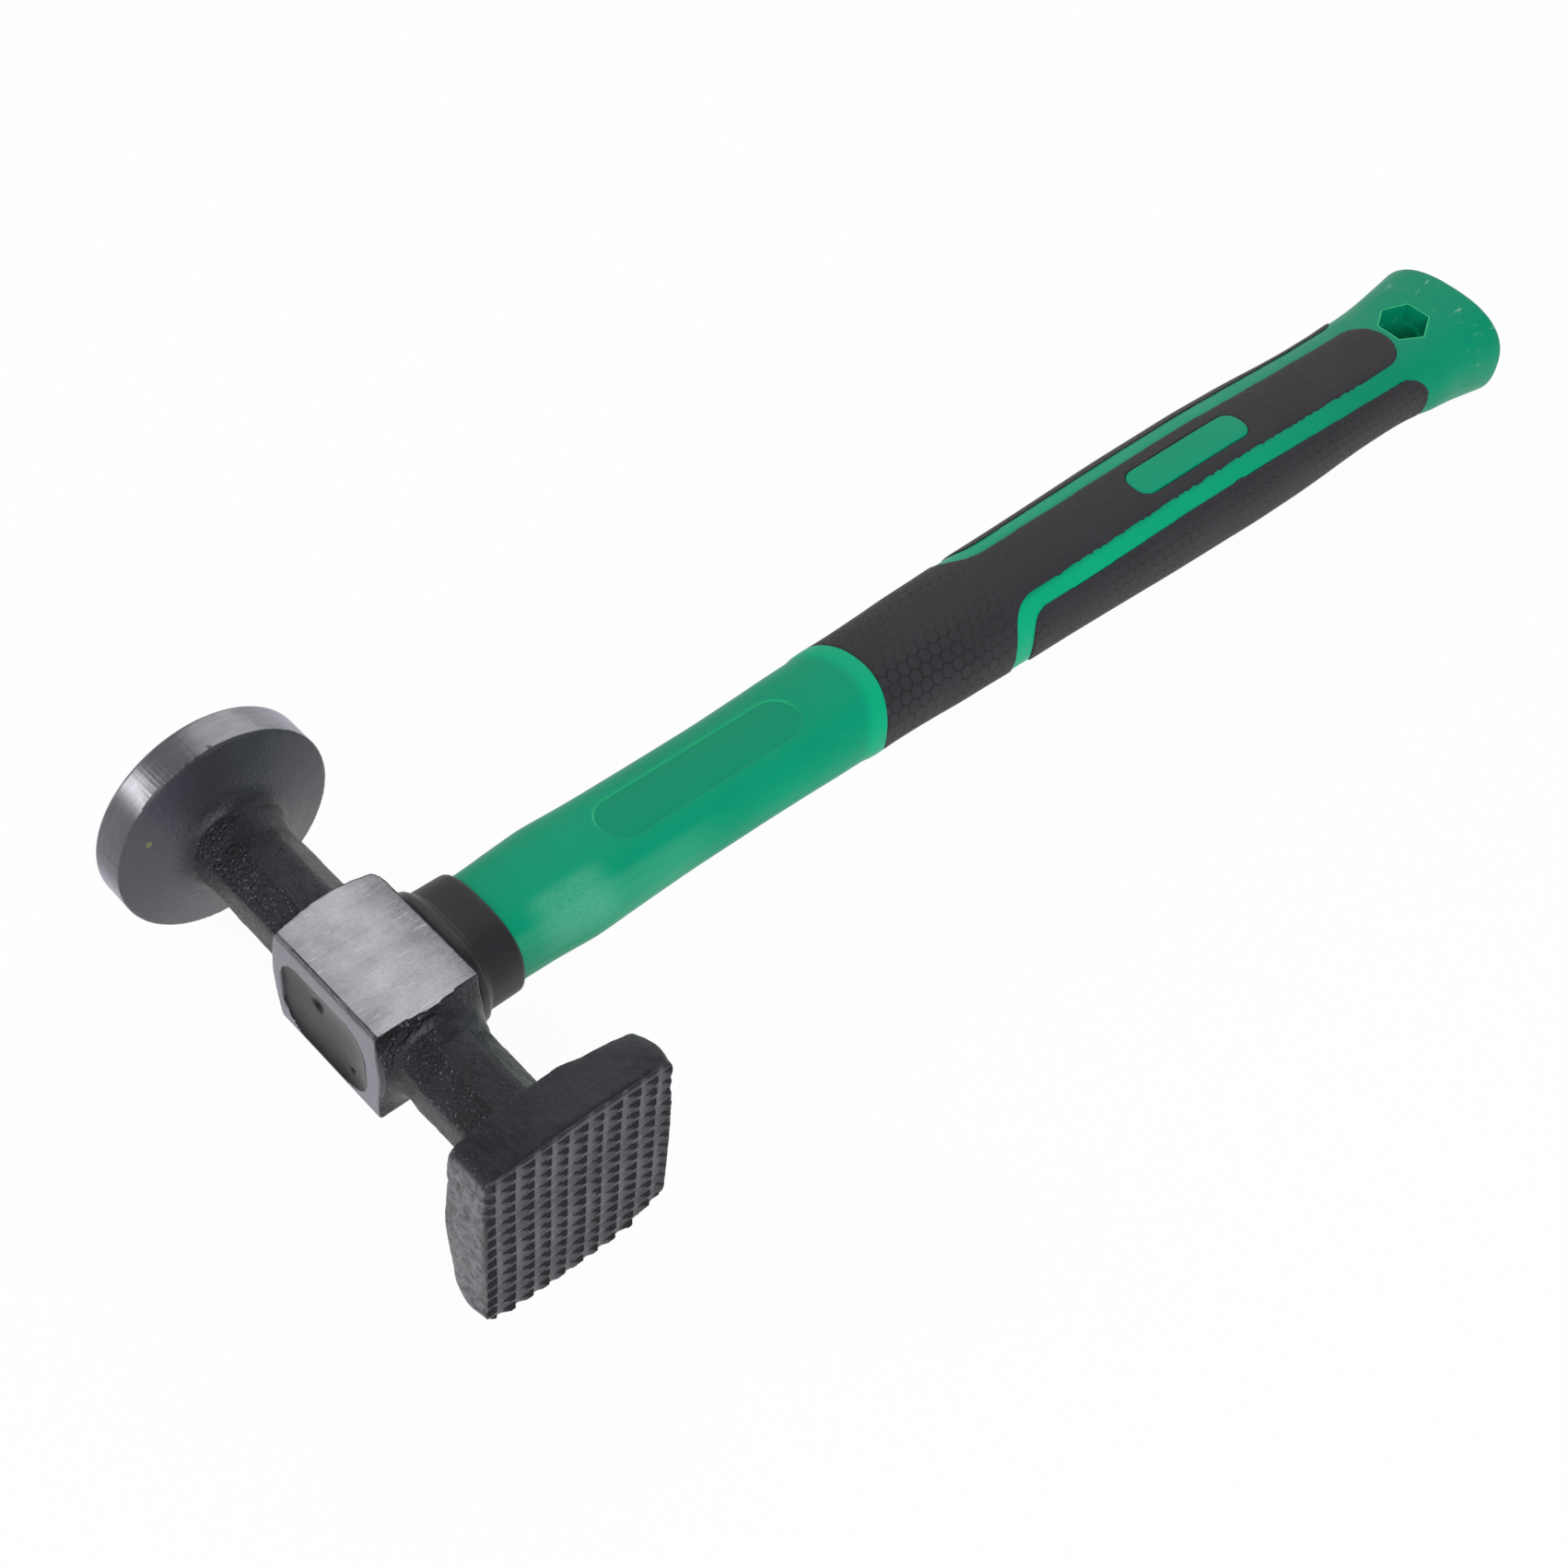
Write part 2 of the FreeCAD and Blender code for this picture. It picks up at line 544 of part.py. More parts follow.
def make_collar():
    """Ring with a thick rounded lip against the head."""
    body = new_body("collar_ring")
    lip = oval_block(body, "lip", LIP_WIDTH, LIP_HEIGHT, "dim.head_foot_out", "dim.lip_length")
    softened(body, lip, "lip_edge", "dim.lip_round",
             dict(x="dim.head_foot_out + dim.lip_length", y=LIP_WIDTH))
    ring = oval_block(body, "ring", RING_WIDTH, RING_HEIGHT, "dim.head_foot_out",
                      "dim.collar_end - dim.head_foot_out")
    softened(body, ring, "ring_edge", "dim.collar_edge", dict(x="dim.collar_end", y=RING_WIDTH))
    return body


def make_spigot(name, extra):
    """Front end of the handle inside the collar, longer by an expression."""
    body = new_body(name)
    start = "dim.head_foot_out + dim.collar_web"
    oval_block(body, f"{name}_pad", "dim.throat_width", "dim.throat_height", start,
               f"dim.collar_end - ({start}) + {extra}")
    return body


spigot = make_spigot("spigot", "0")
collar_hollow = boolean("Part::MultiFuse", "collar_hollow", make_spigot("spigot_bore", "dim.overrun"), rod_bore)
head_collar = boolean("Part::Cut", "head_collar", make_collar(), collar_hollow)


# Handle and grip

STATIONS = ["throat", "shoulder", "front", "waist", "ramp", "swell", "hold",
            "palm", "belly", "ease", "heel", "nape", "flare", "butt"]


def section(name, station, grow, place=None):
    """Cross-section of the handle at one of its stations."""
    sketch = doc.addObject("Sketcher::SketchObject", f"{name}_{station}")
    sketch.Placement = FreeCAD.Placement(FreeCAD.Vector(), FreeCAD.Rotation(FreeCAD.Vector(1, 1, 1), 120))
    at = "dim.collar_end" if station == "throat" else f"dim.{station}_at"
    bind(sketch, **{"Placement.Base.x": place or at})
    return oval(sketch, f"dim.{station}_width", f"dim.{station}_height", grow)


def loft(name, sections, ruled=False):
    made = doc.addObject("Part::Loft", name)
    made.Sections = sections
    made.Solid = True
    made.Ruled = ruled
    return made


def handle_skin(name, grow="0"):
    """Smooth solid through the handle's sections, each grown by an expression."""
    return loft(name, [section(name, station, grow) for station in STATIONS])


def region(name, corners, rounded):
    """Solid that goes through the handle from top to bottom, with corners rounded as seen from above."""
    body = new_body(name)
    pad = block(body, f"{name}_plan", "XY_Plane", corners, "2 * (dim.butt_height + dim.overrun)")
    pad.Midplane = True
    for number, (radius, points) in enumerate(rounded):
        pad = softened(body, pad, f"{name}_corner{number}", radius, *[dict(x=x, y=y) for x, y in points])
    return body


def make_sleeve_region():
    """The sleeve seen from above: a part that goes all round, and a tongue down the middle."""
    tongue = "dim.tongue_width / 2"
    outer = f"({tongue} + dim.arm_fillet + dim.overrun)"
    bow_centre = "dim.bow_tip - dim.bow_radius"
    inner = [("dim.arm_at", f"-{tongue}"), ("dim.arm_at", tongue)]
    tip = [("dim.tongue_end", f"-{tongue}"), ("dim.tongue_end", tongue)]
    corners = [(bow_centre, f"-{outer}"), ("dim.arm_at", f"-{outer}"), inner[0], *tip,
               inner[1], ("dim.arm_at", outer), (bow_centre, outer)]
    body = region("sleeve_region", corners, [
        ("dim.arm_fillet", inner),
        (f"dim.tongue_width / 2 * {FULL_ROUND_SHARE}", tip),
    ])
    bow = circle(new_sketch(body, "bow_outline", "XY_Plane"), bow_centre, "0", "dim.bow_radius")
    cut = feature(body, "Pocket", "bow", bow, Length="2 * (dim.butt_height + dim.overrun)")
    cut.Midplane = True
    return body


def make_panel_region(name, side):
    """A side panel seen from above, on the side that the sign gives."""
    outer = f"{side}(dim.panel_inner_rear + dim.panel_rear_corner + dim.overrun)"
    front = ("dim.panel_start", f"{side}dim.panel_inner")
    rear = ("dim.panel_end", f"{side}dim.panel_inner_rear")
    corners = [front, rear, ("dim.panel_end", outer), ("dim.panel_start", outer)]
    return region(name, corners, [("dim.panel_front_corner", [front]), ("dim.panel_rear_corner", [rear])])


def make_hole_cutter():
    """Hanging hole: a round bore with a six-sided mouth above and below."""
    body = new_body("hole_cutter")
    bore = circle(new_sketch(body, "bore_outline", "XY_Plane"), "dim.hole_at", "0", "dim.hole_radius")
    through = feature(body, "Pad", "bore_through", bore, Length="2 * (dim.butt_height + dim.overrun)")
    through.Midplane = True
    across = f"dim.hex_radius * {SIXTH_TURN_SHARE}"
    mouth = [("dim.hole_at", "-dim.hex_radius"), (f"dim.hole_at + {across}", "-dim.hex_radius / 2"),
             (f"dim.hole_at + {across}", "dim.hex_radius / 2"), ("dim.hole_at", "dim.hex_radius"),
             (f"dim.hole_at - {across}", "dim.hex_radius / 2"), (f"dim.hole_at - {across}", "-dim.hex_radius / 2")]
    height = "dim.butt_height + dim.overrun - dim.hex_floor"
    block(body, "upper_mouth", "XY_Plane", mouth, height, "dim.hex_floor")
    lower = block(body, "lower_mouth", "XY_Plane", mouth, height, "-dim.hex_floor")
    lower.Reversed = True
    return body


green_skin = handle_skin("green_skin")
grip_skin = handle_skin("grip_skin", "dim.grip_proud")
grip_bed = handle_skin("grip_bed", "-dim.grip_depth")
butt_end = loft("butt_end", [section("end_foot", "butt", "0"),
                             section("end_face", "butt", "-dim.butt_cap", "dim.butt_at + dim.butt_cap")],
                ruled=True)

badge_corners = box_corners("dim.badge_start", "dim.badge_end", "-dim.badge_width / 2", "dim.badge_width / 2")
badge_region = region("badge_region", badge_corners, [("dim.badge_corner", badge_corners)])
badge_pads = boolean("Part::Common", "badge_pads", grip_skin, badge_region)

sleeve_plan = boolean("Part::Cut", "sleeve_plan", make_sleeve_region(), badge_region)
sleeve_room = boolean("Part::Cut", "sleeve_room", sleeve_plan, grip_bed)
near_room = boolean("Part::Cut", "near_room", make_panel_region("near_region", "-"), grip_bed)
far_room = boolean("Part::Cut", "far_room", make_panel_region("far_region", ""), grip_bed)

green_blank = boolean("Part::MultiFuse", "green_blank", green_skin, butt_end, spigot, badge_pads)
green_cuts = boolean("Part::MultiFuse", "green_cuts", sleeve_room, near_room, far_room, rod_bore,
                     make_hole_cutter())
handle_body = boolean("Part::Cut", "handle_body", green_blank, green_cuts)
grip_sleeve = boolean("Part::Common", "grip_sleeve", grip_skin, sleeve_room)
grip_side_panel_near = boolean("Part::Common", "grip_side_panel_near", grip_skin, near_room)
grip_side_panel_far = boolean("Part::Common", "grip_side_panel_far", grip_skin, far_room)


# Finished pieces, moved to the part's own origin

NODES = [hammer_head, eye_epoxy, head_collar, core_rod, handle_body, grip_sleeve,
         grip_side_panel_near, grip_side_panel_far]
for node in NODES:
    bind(node, **{
        "Placement.Base.x": "-(dim.butt_at + dim.butt_cap - dim.rim_radius) / 2",
        "Placement.Base.y": "(dim.plate_face_at - dim.face_at - dim.face_crown) / 2",
        "Placement.Base.z": "dim.plate_low + dim.plate_low_rise",
    })
doc.recompute()

for thing in doc.Objects:
    if any(word in state for state in thing.State for word in ("Invalid", "Error")):
        raise RuntimeError(f"{thing.Name} failed: {thing.State}")
for node in NODES:
    if node.Shape.isNull() or not node.Shape.isValid() or len(node.Shape.Solids) != 1:
        raise RuntimeError(f"{node.Label} is not one valid solid")

os.makedirs("parts", exist_ok=True)
for node in NODES:
    node.Shape.exportStep(f"parts/{node.Label}.step")
    box = node.Shape.optimalBoundingBox()
    print(f"{node.Label}: {node.Shape.Volume:.0f} mm3, {box.XMin:.2f} to {box.XMax:.2f}, "
          f"{box.YMin:.2f} to {box.YMax:.2f}, {box.ZMin:.2f} to {box.ZMax:.2f}")
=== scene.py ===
import math

import bpy
import numpy as np
from mathutils import Matrix, Vector
from mathutils.geometry import convex_hull_2d


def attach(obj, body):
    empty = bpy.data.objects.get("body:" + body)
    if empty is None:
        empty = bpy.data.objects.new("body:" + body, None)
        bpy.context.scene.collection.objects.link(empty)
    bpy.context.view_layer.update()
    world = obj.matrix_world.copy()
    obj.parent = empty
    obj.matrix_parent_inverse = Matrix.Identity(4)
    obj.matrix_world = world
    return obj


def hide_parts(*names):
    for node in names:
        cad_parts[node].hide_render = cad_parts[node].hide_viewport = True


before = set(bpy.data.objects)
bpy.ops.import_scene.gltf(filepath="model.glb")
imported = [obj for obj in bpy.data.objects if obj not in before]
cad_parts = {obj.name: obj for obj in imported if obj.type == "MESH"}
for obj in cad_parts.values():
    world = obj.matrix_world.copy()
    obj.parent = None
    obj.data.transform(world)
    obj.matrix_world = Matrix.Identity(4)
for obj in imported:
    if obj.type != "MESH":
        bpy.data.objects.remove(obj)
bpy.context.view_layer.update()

# Studio: a pale sweep that the hammer lies on, a dim ceiling over a bright horizon, a soft box behind
# the hammer, a smaller one low on the left, and the camera. The sweep touches the hammer in three
# places: the butt, the rim of the round face and the low edge of the serrated face.

MIDDLE_OF_EYE = Vector((-143.95, -0.95, 23.5))

bpy.ops.object.select_all(action="DESELECT")
bpy.ops.mesh.primitive_plane_add(size=12)
floor = bpy.context.object
floor.name = "studio_floor"
touch_round, touch_square = Vector((-0.144, 0.051, 0.0008)), Vector((-0.144, -0.051, 0))
touch_butt = Vector((0.165, -0.001, 0.0107))
GAP_UNDER_HAMMER = 0.0002
floor_up = (touch_butt - touch_square).cross(touch_round - touch_square).normalized()
floor.rotation_mode = "QUATERNION"
floor.rotation_quaternion = floor_up.to_track_quat("Z", "Y")
floor.location = touch_square - floor_up * GAP_UNDER_HAMMER
bpy.ops.object.transform_apply(location=True, rotation=True, scale=True)


class Value:
    """A number that varies over a surface. Python's operators on it add Math nodes."""

    def __init__(self, finish, socket):
        self.finish, self.socket = finish, socket

    def math(self, operation, *numbers):
        return self.finish.node("ShaderNodeMath", {"operation": operation}, dict(enumerate(numbers)))

    def __add__(self, other):
        return self.math("ADD", self, other)

    def __sub__(self, other):
        return self.math("SUBTRACT", self, other)

    def __rsub__(self, other):
        return self.math("SUBTRACT", other, self)

    def __mul__(self, other):
        return self.math("MULTIPLY", self, other)

    def __truediv__(self, other):
        return self.math("DIVIDE", self, other)

    def __pow__(self, other):
        return self.math("POWER", self, other)

    def __abs__(self):
        return self.math("ABSOLUTE", self)

    __radd__, __rmul__ = __add__, __mul__

    def squared(self):
        return self * self

    def smaller(self, other):
        return self.math("MINIMUM", self, other)

    def larger(self, other):
        return self.math("MAXIMUM", self, other)

    def step(self, low, high):
        """0 below low and 1 above high, smooth between them. The two may be the other way round."""
        return self.finish.node("ShaderNodeMapRange", {"interpolation_type": "SMOOTHSTEP"},
                                {"Value": self, "From Min": low, "From Max": high})


class Finish:
    """A node material with one Principled shader."""

    def __init__(self, name, **constants):
        self.material = bpy.data.materials.new(name)
        self.material.use_nodes = True
        self.nodes, self.links = self.material.node_tree.nodes, self.material.node_tree.links
        self.shader = self.nodes["Principled BSDF"]
        self.place = self.node("ShaderNodeTexCoord", {}, {}, "Object")
        for socket, constant in constants.items():
            self.shader.inputs[socket.replace("_", " ")].default_value = constant

    def node(self, kind, settings, inputs, output=0):
        """The output of a new node, with its settings and the values or links of its sockets."""
        node = self.nodes.new(kind)
        for name, setting in settings.items():
            setattr(node, name, setting)
        self.feed(node, inputs)
        return Value(self, node.outputs[output])

    def feed(self, node, inputs):
        """Gives a node's sockets their values or links."""
        for name, given in inputs.items():
            if isinstance(given, Value):
                self.links.new(given.socket, node.inputs[name])
            else:
                node.inputs[name].default_value = given

    def set(self, **inputs):
        """Feeds the sockets of the Principled shader."""
        self.feed(self.shader, {name.replace("_", " "): given for name, given in inputs.items()})

    def axis(self, name):
        """Object coordinate along X, Y or Z, in millimetres."""
        return self.node("ShaderNodeSeparateXYZ", {}, {"Vector": self.place}, name) * 1000

    def stretched(self, across, up, deep):
        """Object coordinates times a number for each axis, per millimetre."""
        return self.node("ShaderNodeVectorMath", {"operation": "MULTIPLY"},
                         {0: self.place, 1: (across * 1000, up * 1000, deep * 1000)})

    def noise(self, size, detail=2, rough=0.5, vector=None):
        """Noise around 0.5 with lumps of a size in millimetres."""
        return self.node("ShaderNodeTexNoise", {},
                         {"Vector": vector or self.place, "Scale": (1 if vector else 1000) / size,
                          "Detail": detail, "Roughness": rough}, "Fac")

    def colour(self, share, low, high):
        """Colour from low to high by a share."""
        return self.node("ShaderNodeMix", {"data_type": "RGBA"}, {"Factor": share, 6: low, 7: high}, 2)

    def layered(self, colour, *layers):
        """Colour under layers, each with its share and its own colour."""
        for share, tint in layers:
            colour = self.colour(share, colour, tint)
        return colour

    def remembered(self, name):
        """Number that the piece keeps for each of its vertices."""
        return self.node("ShaderNodeAttribute", {"attribute_name": name}, {}, "Fac")

    def bump(self, height, depth, normal=None):
        """Bump by a height of 0 to 1, with a depth in millimetres."""
        inputs = {"Height": height, "Strength": 1.0, "Distance": depth / 1000}
        if normal:
            inputs["Normal"] = normal
        return self.node("ShaderNodeBump", {}, inputs)


def srgb(red, green, blue):
    """Linear colour from screen numbers of 0 to 255."""
    channels = [number / 255 for number in (red, green, blue)]
    return (*[c / 12.92 if c <= 0.04045 else ((c + 0.055) / 1.055) ** 2.4 for c in channels], 1)


paper = Finish("studio_paper", Base_Color=srgb(248, 248, 248), Roughness=0.9)
floor.data.materials.append(paper.material)
ray = {name: paper.node("ShaderNodeLightPath", {}, {}, f"Is {name} Ray")
       for name in ("Camera", "Glossy", "Transmission")}
seen_white = (ray["Camera"] * 0.96 + ray["Glossy"] * 0.9 + ray["Transmission"]).smaller(1)
plain_white = paper.nodes.new("ShaderNodeEmission")
sheet = paper.nodes.new("ShaderNodeMixShader")
paper.links.new(seen_white.socket, sheet.inputs[0])
paper.links.new(paper.shader.outputs[0], sheet.inputs[1])
paper.links.new(plain_white.outputs[0], sheet.inputs[2])
paper.links.new(sheet.outputs[0], paper.nodes["Material Output"].inputs[0])

world = bpy.data.worlds.new("studio")
bpy.context.scene.world = world
world.use_nodes = True
sky_nodes, sky_links = world.node_tree.nodes, world.node_tree.links
heading = sky_nodes.new("ShaderNodeTexCoord")
height = sky_nodes.new("ShaderNodeSeparateXYZ")
level = sky_nodes.new("ShaderNodeMapRange")
for socket, setting in (("From Min", 0.1), ("From Max", 0.5), ("To Min", 0.95), ("To Max", 0.37)):
    level.inputs[socket].default_value = setting
sky_links.new(heading.outputs["Generated"], height.inputs[0])
sky_links.new(height.outputs["Z"], level.inputs["Value"])
sky_links.new(level.outputs[0], sky_nodes["Background"].inputs["Strength"])
sky_nodes["Background"].inputs["Color"].default_value = (1, 1, 1, 1)

# A lamp has its place in metres, its side and its power. All three look at the eye of the head.
LAMPS = {"back_soft_box": ((0.95, 0.80, 1.25), 1.7, 8.6),
         "low_left_soft_box": ((-1.10, 0.84, 0.66), 0.42, 2.4),
         "front_fill": ((-0.72, -1.2, 1.1), 1.2, 16.5)}
for lamp_name, (where, size, power) in LAMPS.items():
    bpy.ops.object.light_add(type="AREA", location=where)
    lamp = bpy.context.object
    lamp.name = lamp_name
    lamp.data.shape, lamp.data.size, lamp.data.energy = "SQUARE", size, power
    lamp.rotation_mode = "QUATERNION"
    lamp.rotation_quaternion = (Vector(where) - MIDDLE_OF_EYE / 1000).to_track_quat("Z", "Y")

# The camera's place, lens and turn were fitted to the edges of the head and the handle.
CAMERA_FROM_EYE = Vector((-146.7, -220.9, 358.3))
bpy.ops.object.camera_add(location=(MIDDLE_OF_EYE + CAMERA_FROM_EYE) / 1000)
camera = bpy.context.object
camera.data.lens, camera.data.sensor_width = 56.83, 36
right, down = Vector((0.732, -0.677, 0.081)).normalized(), Vector((-0.470, -0.588, -0.658)).normalized()
ahead = Vector((0.4929, 0.4432, -0.7488)).normalized()
camera.rotation_mode = "QUATERNION"
camera.rotation_quaternion = Matrix((right, -down, -ahead)).transposed().to_quaternion()
camera.data.clip_start, camera.data.clip_end = 0.02, 50
bpy.context.scene.camera = camera
bpy.context.scene.view_settings.view_transform = "Standard"

# Hammer head: one drop forging with a black oxide skin. Its cheeks, the top of the eye block, the
# round face and that face's rim are ground bright, and the square face is cut into rows of teeth.


def pick(piece):
    """Makes one piece the only selected one."""
    bpy.ops.object.select_all(action="DESELECT")
    piece.select_set(True)
    bpy.context.view_layer.objects.active = piece


def modify(piece, kind, **settings):
    """Adds a modifier and applies it."""
    pick(piece)
    modifier = piece.modifiers.new(kind.lower(), kind)
    for name, setting in settings.items():
        setattr(modifier, name, setting)
    bpy.ops.object.modifier_apply(modifier=modifier.name)


def points_of(piece):
    """The piece's vertices as rows of three numbers."""
    co = np.empty(len(piece.data.vertices) * 3)
    piece.data.vertices.foreach_get("co", co)
    return co.reshape(-1, 3)


def normals_of(piece):
    """The direction of each vertex, as rows of three numbers."""
    co = np.empty(len(piece.data.vertices) * 3)
    piece.data.vertex_normals.foreach_get("vector", co)
    return co.reshape(-1, 3)


def move_points(piece, places):
    """Puts the vertices at their new places."""
    piece.data.vertices.foreach_set("co", places.ravel())
    piece.data.update()


def remember(piece, name, numbers):
    """Keeps a number for each vertex, which the material reads."""
    layer = piece.data.attributes.new(name, "FLOAT", "POINT")
    layer.data.foreach_set("value", np.asarray(numbers, np.float32))


def ramp(numbers, low, high):
    """0 below low and 1 above high, smooth between them. The two may be the other way round."""
    share = np.clip((numbers - low) / (high - low), 0, 1)
    return share * share * (3 - 2 * share)


def rounded(corners, steps=12):
    """Points along a closed outline. A corner is (x, y) or (x, y, radius)."""
    points = []
    for k, corner in enumerate(corners):
        here = Vector(corner[:2])
        if len(corner) < 3:
            points.append(tuple(here))
            continue
        back = (Vector(corners[k - 1][:2]) - here).normalized()
        on = (Vector(corners[(k + 1) % len(corners)][:2]) - here).normalized()
        half = math.acos(max(-1, min(1, back.dot(on)))) / 2
        centre = here + (back + on).normalized() * corner[2] / math.sin(half)
        first = here + back * corner[2] / math.tan(half) - centre
        last = here + on * corner[2] / math.tan(half) - centre
        sweep = first.angle_signed(last)
        for step in range(steps + 1):
            angle = -sweep * step / steps
            points.append((centre.x + first.x * math.cos(angle) - first.y * math.sin(angle),
                           centre.y + first.x * math.sin(angle) + first.y * math.cos(angle)))
    return points


def nearest_on(line, points, closed=False):
    """Nearest places on a line of points, and how far they are."""
    line = np.asarray(line, float)
    starts, ends = (line, np.roll(line, -1, axis=0)) if closed else (line[:-1], line[1:])
    best, place = np.full(len(points), np.inf), np.zeros((len(points), 2))
    for start, end in zip(starts, ends):
        run = end - start
        share = np.clip(((points - start) @ run) / max(run @ run, 1e-12), 0, 1)
        found = start + share[:, None] * run
        far = np.hypot(*(points - found).T)
        better = far < best
        best[better], place[better] = far[better], found[better]
    return place, best


def into_part_frame(piece):
    """Millimetres about the middle of the eye become metres in the part's own frame."""
    piece.data.transform(Matrix.Translation(MIDDLE_OF_EYE))
    piece.data.transform(Matrix.Diagonal((0.001, 0.001, 0.001, 1)))
    piece.data.update()


def copy_of_node(node, name):
    """Merged copy of a CAD node's mesh, in millimetres about the middle of the eye."""
    bpy.ops.object.select_all(action="DESELECT")
    piece = bpy.data.objects.new(name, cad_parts[node].data.copy())
    bpy.context.collection.objects.link(piece)
    piece.data.materials.clear()
    piece.data.transform(Matrix.Diagonal((1000, 1000, 1000, 1)))
    piece.data.transform(Matrix.Translation(-MIDDLE_OF_EYE))
    pick(piece)
    bpy.ops.object.mode_set(mode="EDIT")
    bpy.ops.mesh.select_all(action="SELECT")
    bpy.ops.mesh.remove_doubles(threshold=0.0005)
    bpy.ops.object.mode_set(mode="OBJECT")
    return piece


def weigh(piece, name, weights):
    """Vertex group with a weight for each vertex."""
    group = piece.vertex_groups.new(name=name)
    weights = np.round(np.clip(weights, 0, 1), 2)
    for weight in np.unique(weights):
        if weight > 0:
            group.add(np.flatnonzero(weights == weight).tolist(), float(weight), "REPLACE")


HEAD_VOXEL, NECK_SMOOTHING, FILLET_SMOOTHING = 0.4, 22, 90
head = copy_of_node("hammer_head", "forged_head")
modify(head, "REMESH", mode="VOXEL", voxel_size=HEAD_VOXEL)
modify(head, "SMOOTH", factor=0.5, iterations=2)

# The two necks are smoothed most, and the back of the plate less.
co = points_of(head)
disc_neck = ramp(co[:, 1], 14.5, 17.5) * ramp(co[:, 1], 43, 41)
plate_neck = ramp(co[:, 1], -15.2, -17) * (1 - 0.55 * ramp(co[:, 1], -43.5, -46))
weigh(head, "neck", np.where(co[:, 1] > 0, disc_neck, plate_neck))
modify(head, "SMOOTH", factor=0.5, iterations=NECK_SMOOTHING, vertex_group="neck")

# The disc is turned back to its exact profile. A corner of it is a place along the head and a radius.
# The last corner is set again, because rounding keeps fewer of its digits.
RIM_FROM, RIM_RADIUS, ROUND_FACE_AT = 48.5, 22.7, 56.6
DISC_PROFILE = rounded([(40, 9.5), (44.9, 9.5, 3.2), (RIM_FROM, RIM_RADIUS), (56.2, RIM_RADIUS, 0.6),
                        (ROUND_FACE_AT, 0)])
DISC_PROFILE[-1] = (ROUND_FACE_AT, 0)
co = points_of(head)
radius = np.hypot(co[:, 0], co[:, 2])
target, far = nearest_on(DISC_PROFILE, np.column_stack([co[:, 1], radius]))
share = ramp(co[:, 1], 42.5, 44.5) * (far < 0.6)
co[:, 1] += (target[:, 0] - co[:, 1]) * share
scale = 1 + (target[:, 1] / np.maximum(radius, 1e-6) - 1) * share
co[:, 0] *= scale
co[:, 2] *= scale

# The neck of the plate is a little fuller towards the top of the head.
co[:, 0] -= 0.4 * ramp(-co[:, 0], 2, 8) * ramp(-co[:, 1], 19, 23) * ramp(-co[:, 1], 44, 40)

# The plate's walls bulge between its face and its back, most of all at two of its corners, and the
# upper edge of its back leans towards the neck. A corner has its X, its Z and the bulge's depth.
SQUARE_FACE_AT, PLATE_BACK, PLATE_THICKNESS = -54.7, -45.6, 9.1
BULGING_CORNERS, BULGE_REACH = ((-19.4, -23.5, 1.9), (19.4, 19.0, 0.95)), 5.5
middle = np.sin(np.pi * np.clip((PLATE_BACK - co[:, 1]) / PLATE_THICKNESS, 0, 1))
co[:, 0] += 0.3 * ramp(co[:, 0], 17, 19) * middle
co[:, 2] -= 0.6 * ramp(-co[:, 2], 20.5, 22.5) * ramp(co[:, 0], -14, 8) * ramp(-co[:, 1], 49, 52)
for x, z, depth in BULGING_CORNERS:
    near = depth * middle * np.exp(-((co[:, 0] - x) ** 2 + (co[:, 2] - z) ** 2) / BULGE_REACH ** 2)
    co[:, 0] += near * np.sign(x) * 0.75
    co[:, 2] += near * np.sign(z) * 0.66
leaning = 0.9 * ramp(co[:, 1], -48.5, -46.5) * ramp(co[:, 1], -43, -45)
co[:, 1] += leaning * ramp(co[:, 2], 11, 14) * ramp(co[:, 0], 9, 3)
move_points(head, co)
weigh(head, "root_of_disc", ramp(co[:, 1], 35, 40) * ramp(co[:, 1], 46.2, 44.8))
modify(head, "SMOOTH", factor=0.5, iterations=FILLET_SMOOTHING, vertex_group="root_of_disc")

# The square face is flat first, with a rounded border. It gets a finer mesh, and then its teeth.
FRONT_BAND = 1.7
co = points_of(head)
wall = co[(co[:, 1] < -51.5) & (co[:, 1] > -53.0)][:, [0, 2]]
face_outline = wall[convex_hull_2d([tuple(p) for p in wall])]


def to_border(places):
    """Distance of the places from the border of the square face, inside it."""
    return nearest_on(face_outline, places[:, [0, 2]], closed=True)[1]


def level_face(piece, teeth):
    """Puts the plate's front on its plane, less its rounded border and the depth of its teeth."""
    co = points_of(piece)
    front = np.flatnonzero(co[:, 1] < SQUARE_FACE_AT + FRONT_BAND)
    inside = to_border(co[front])
    edge = 0.3 + 1.2 * ramp(co[front, 2], 8, 14) + 0.5 * ramp(-co[front, 0], 15, 18)
    fall = edge - np.sqrt(np.maximum(0, edge ** 2 - np.maximum(0, edge - inside) ** 2))
    co[front, 1] = SQUARE_FACE_AT + fall + teeth(co[front], inside)
    move_points(piece, co)


level_face(head, lambda places, inside: 0)
pick(head)
bpy.ops.object.mode_set(mode="EDIT")
bpy.ops.mesh.select_mode(type="FACE")
bpy.ops.mesh.select_all(action="DESELECT")
bpy.ops.object.mode_set(mode="OBJECT")
for face in head.data.polygons:
    face.select = face.center.y < SQUARE_FACE_AT + 0.6 and face.normal.y < -0.8
bpy.ops.object.mode_set(mode="EDIT")
bpy.ops.mesh.subdivide(number_cuts=1)
bpy.ops.object.mode_set(mode="OBJECT")

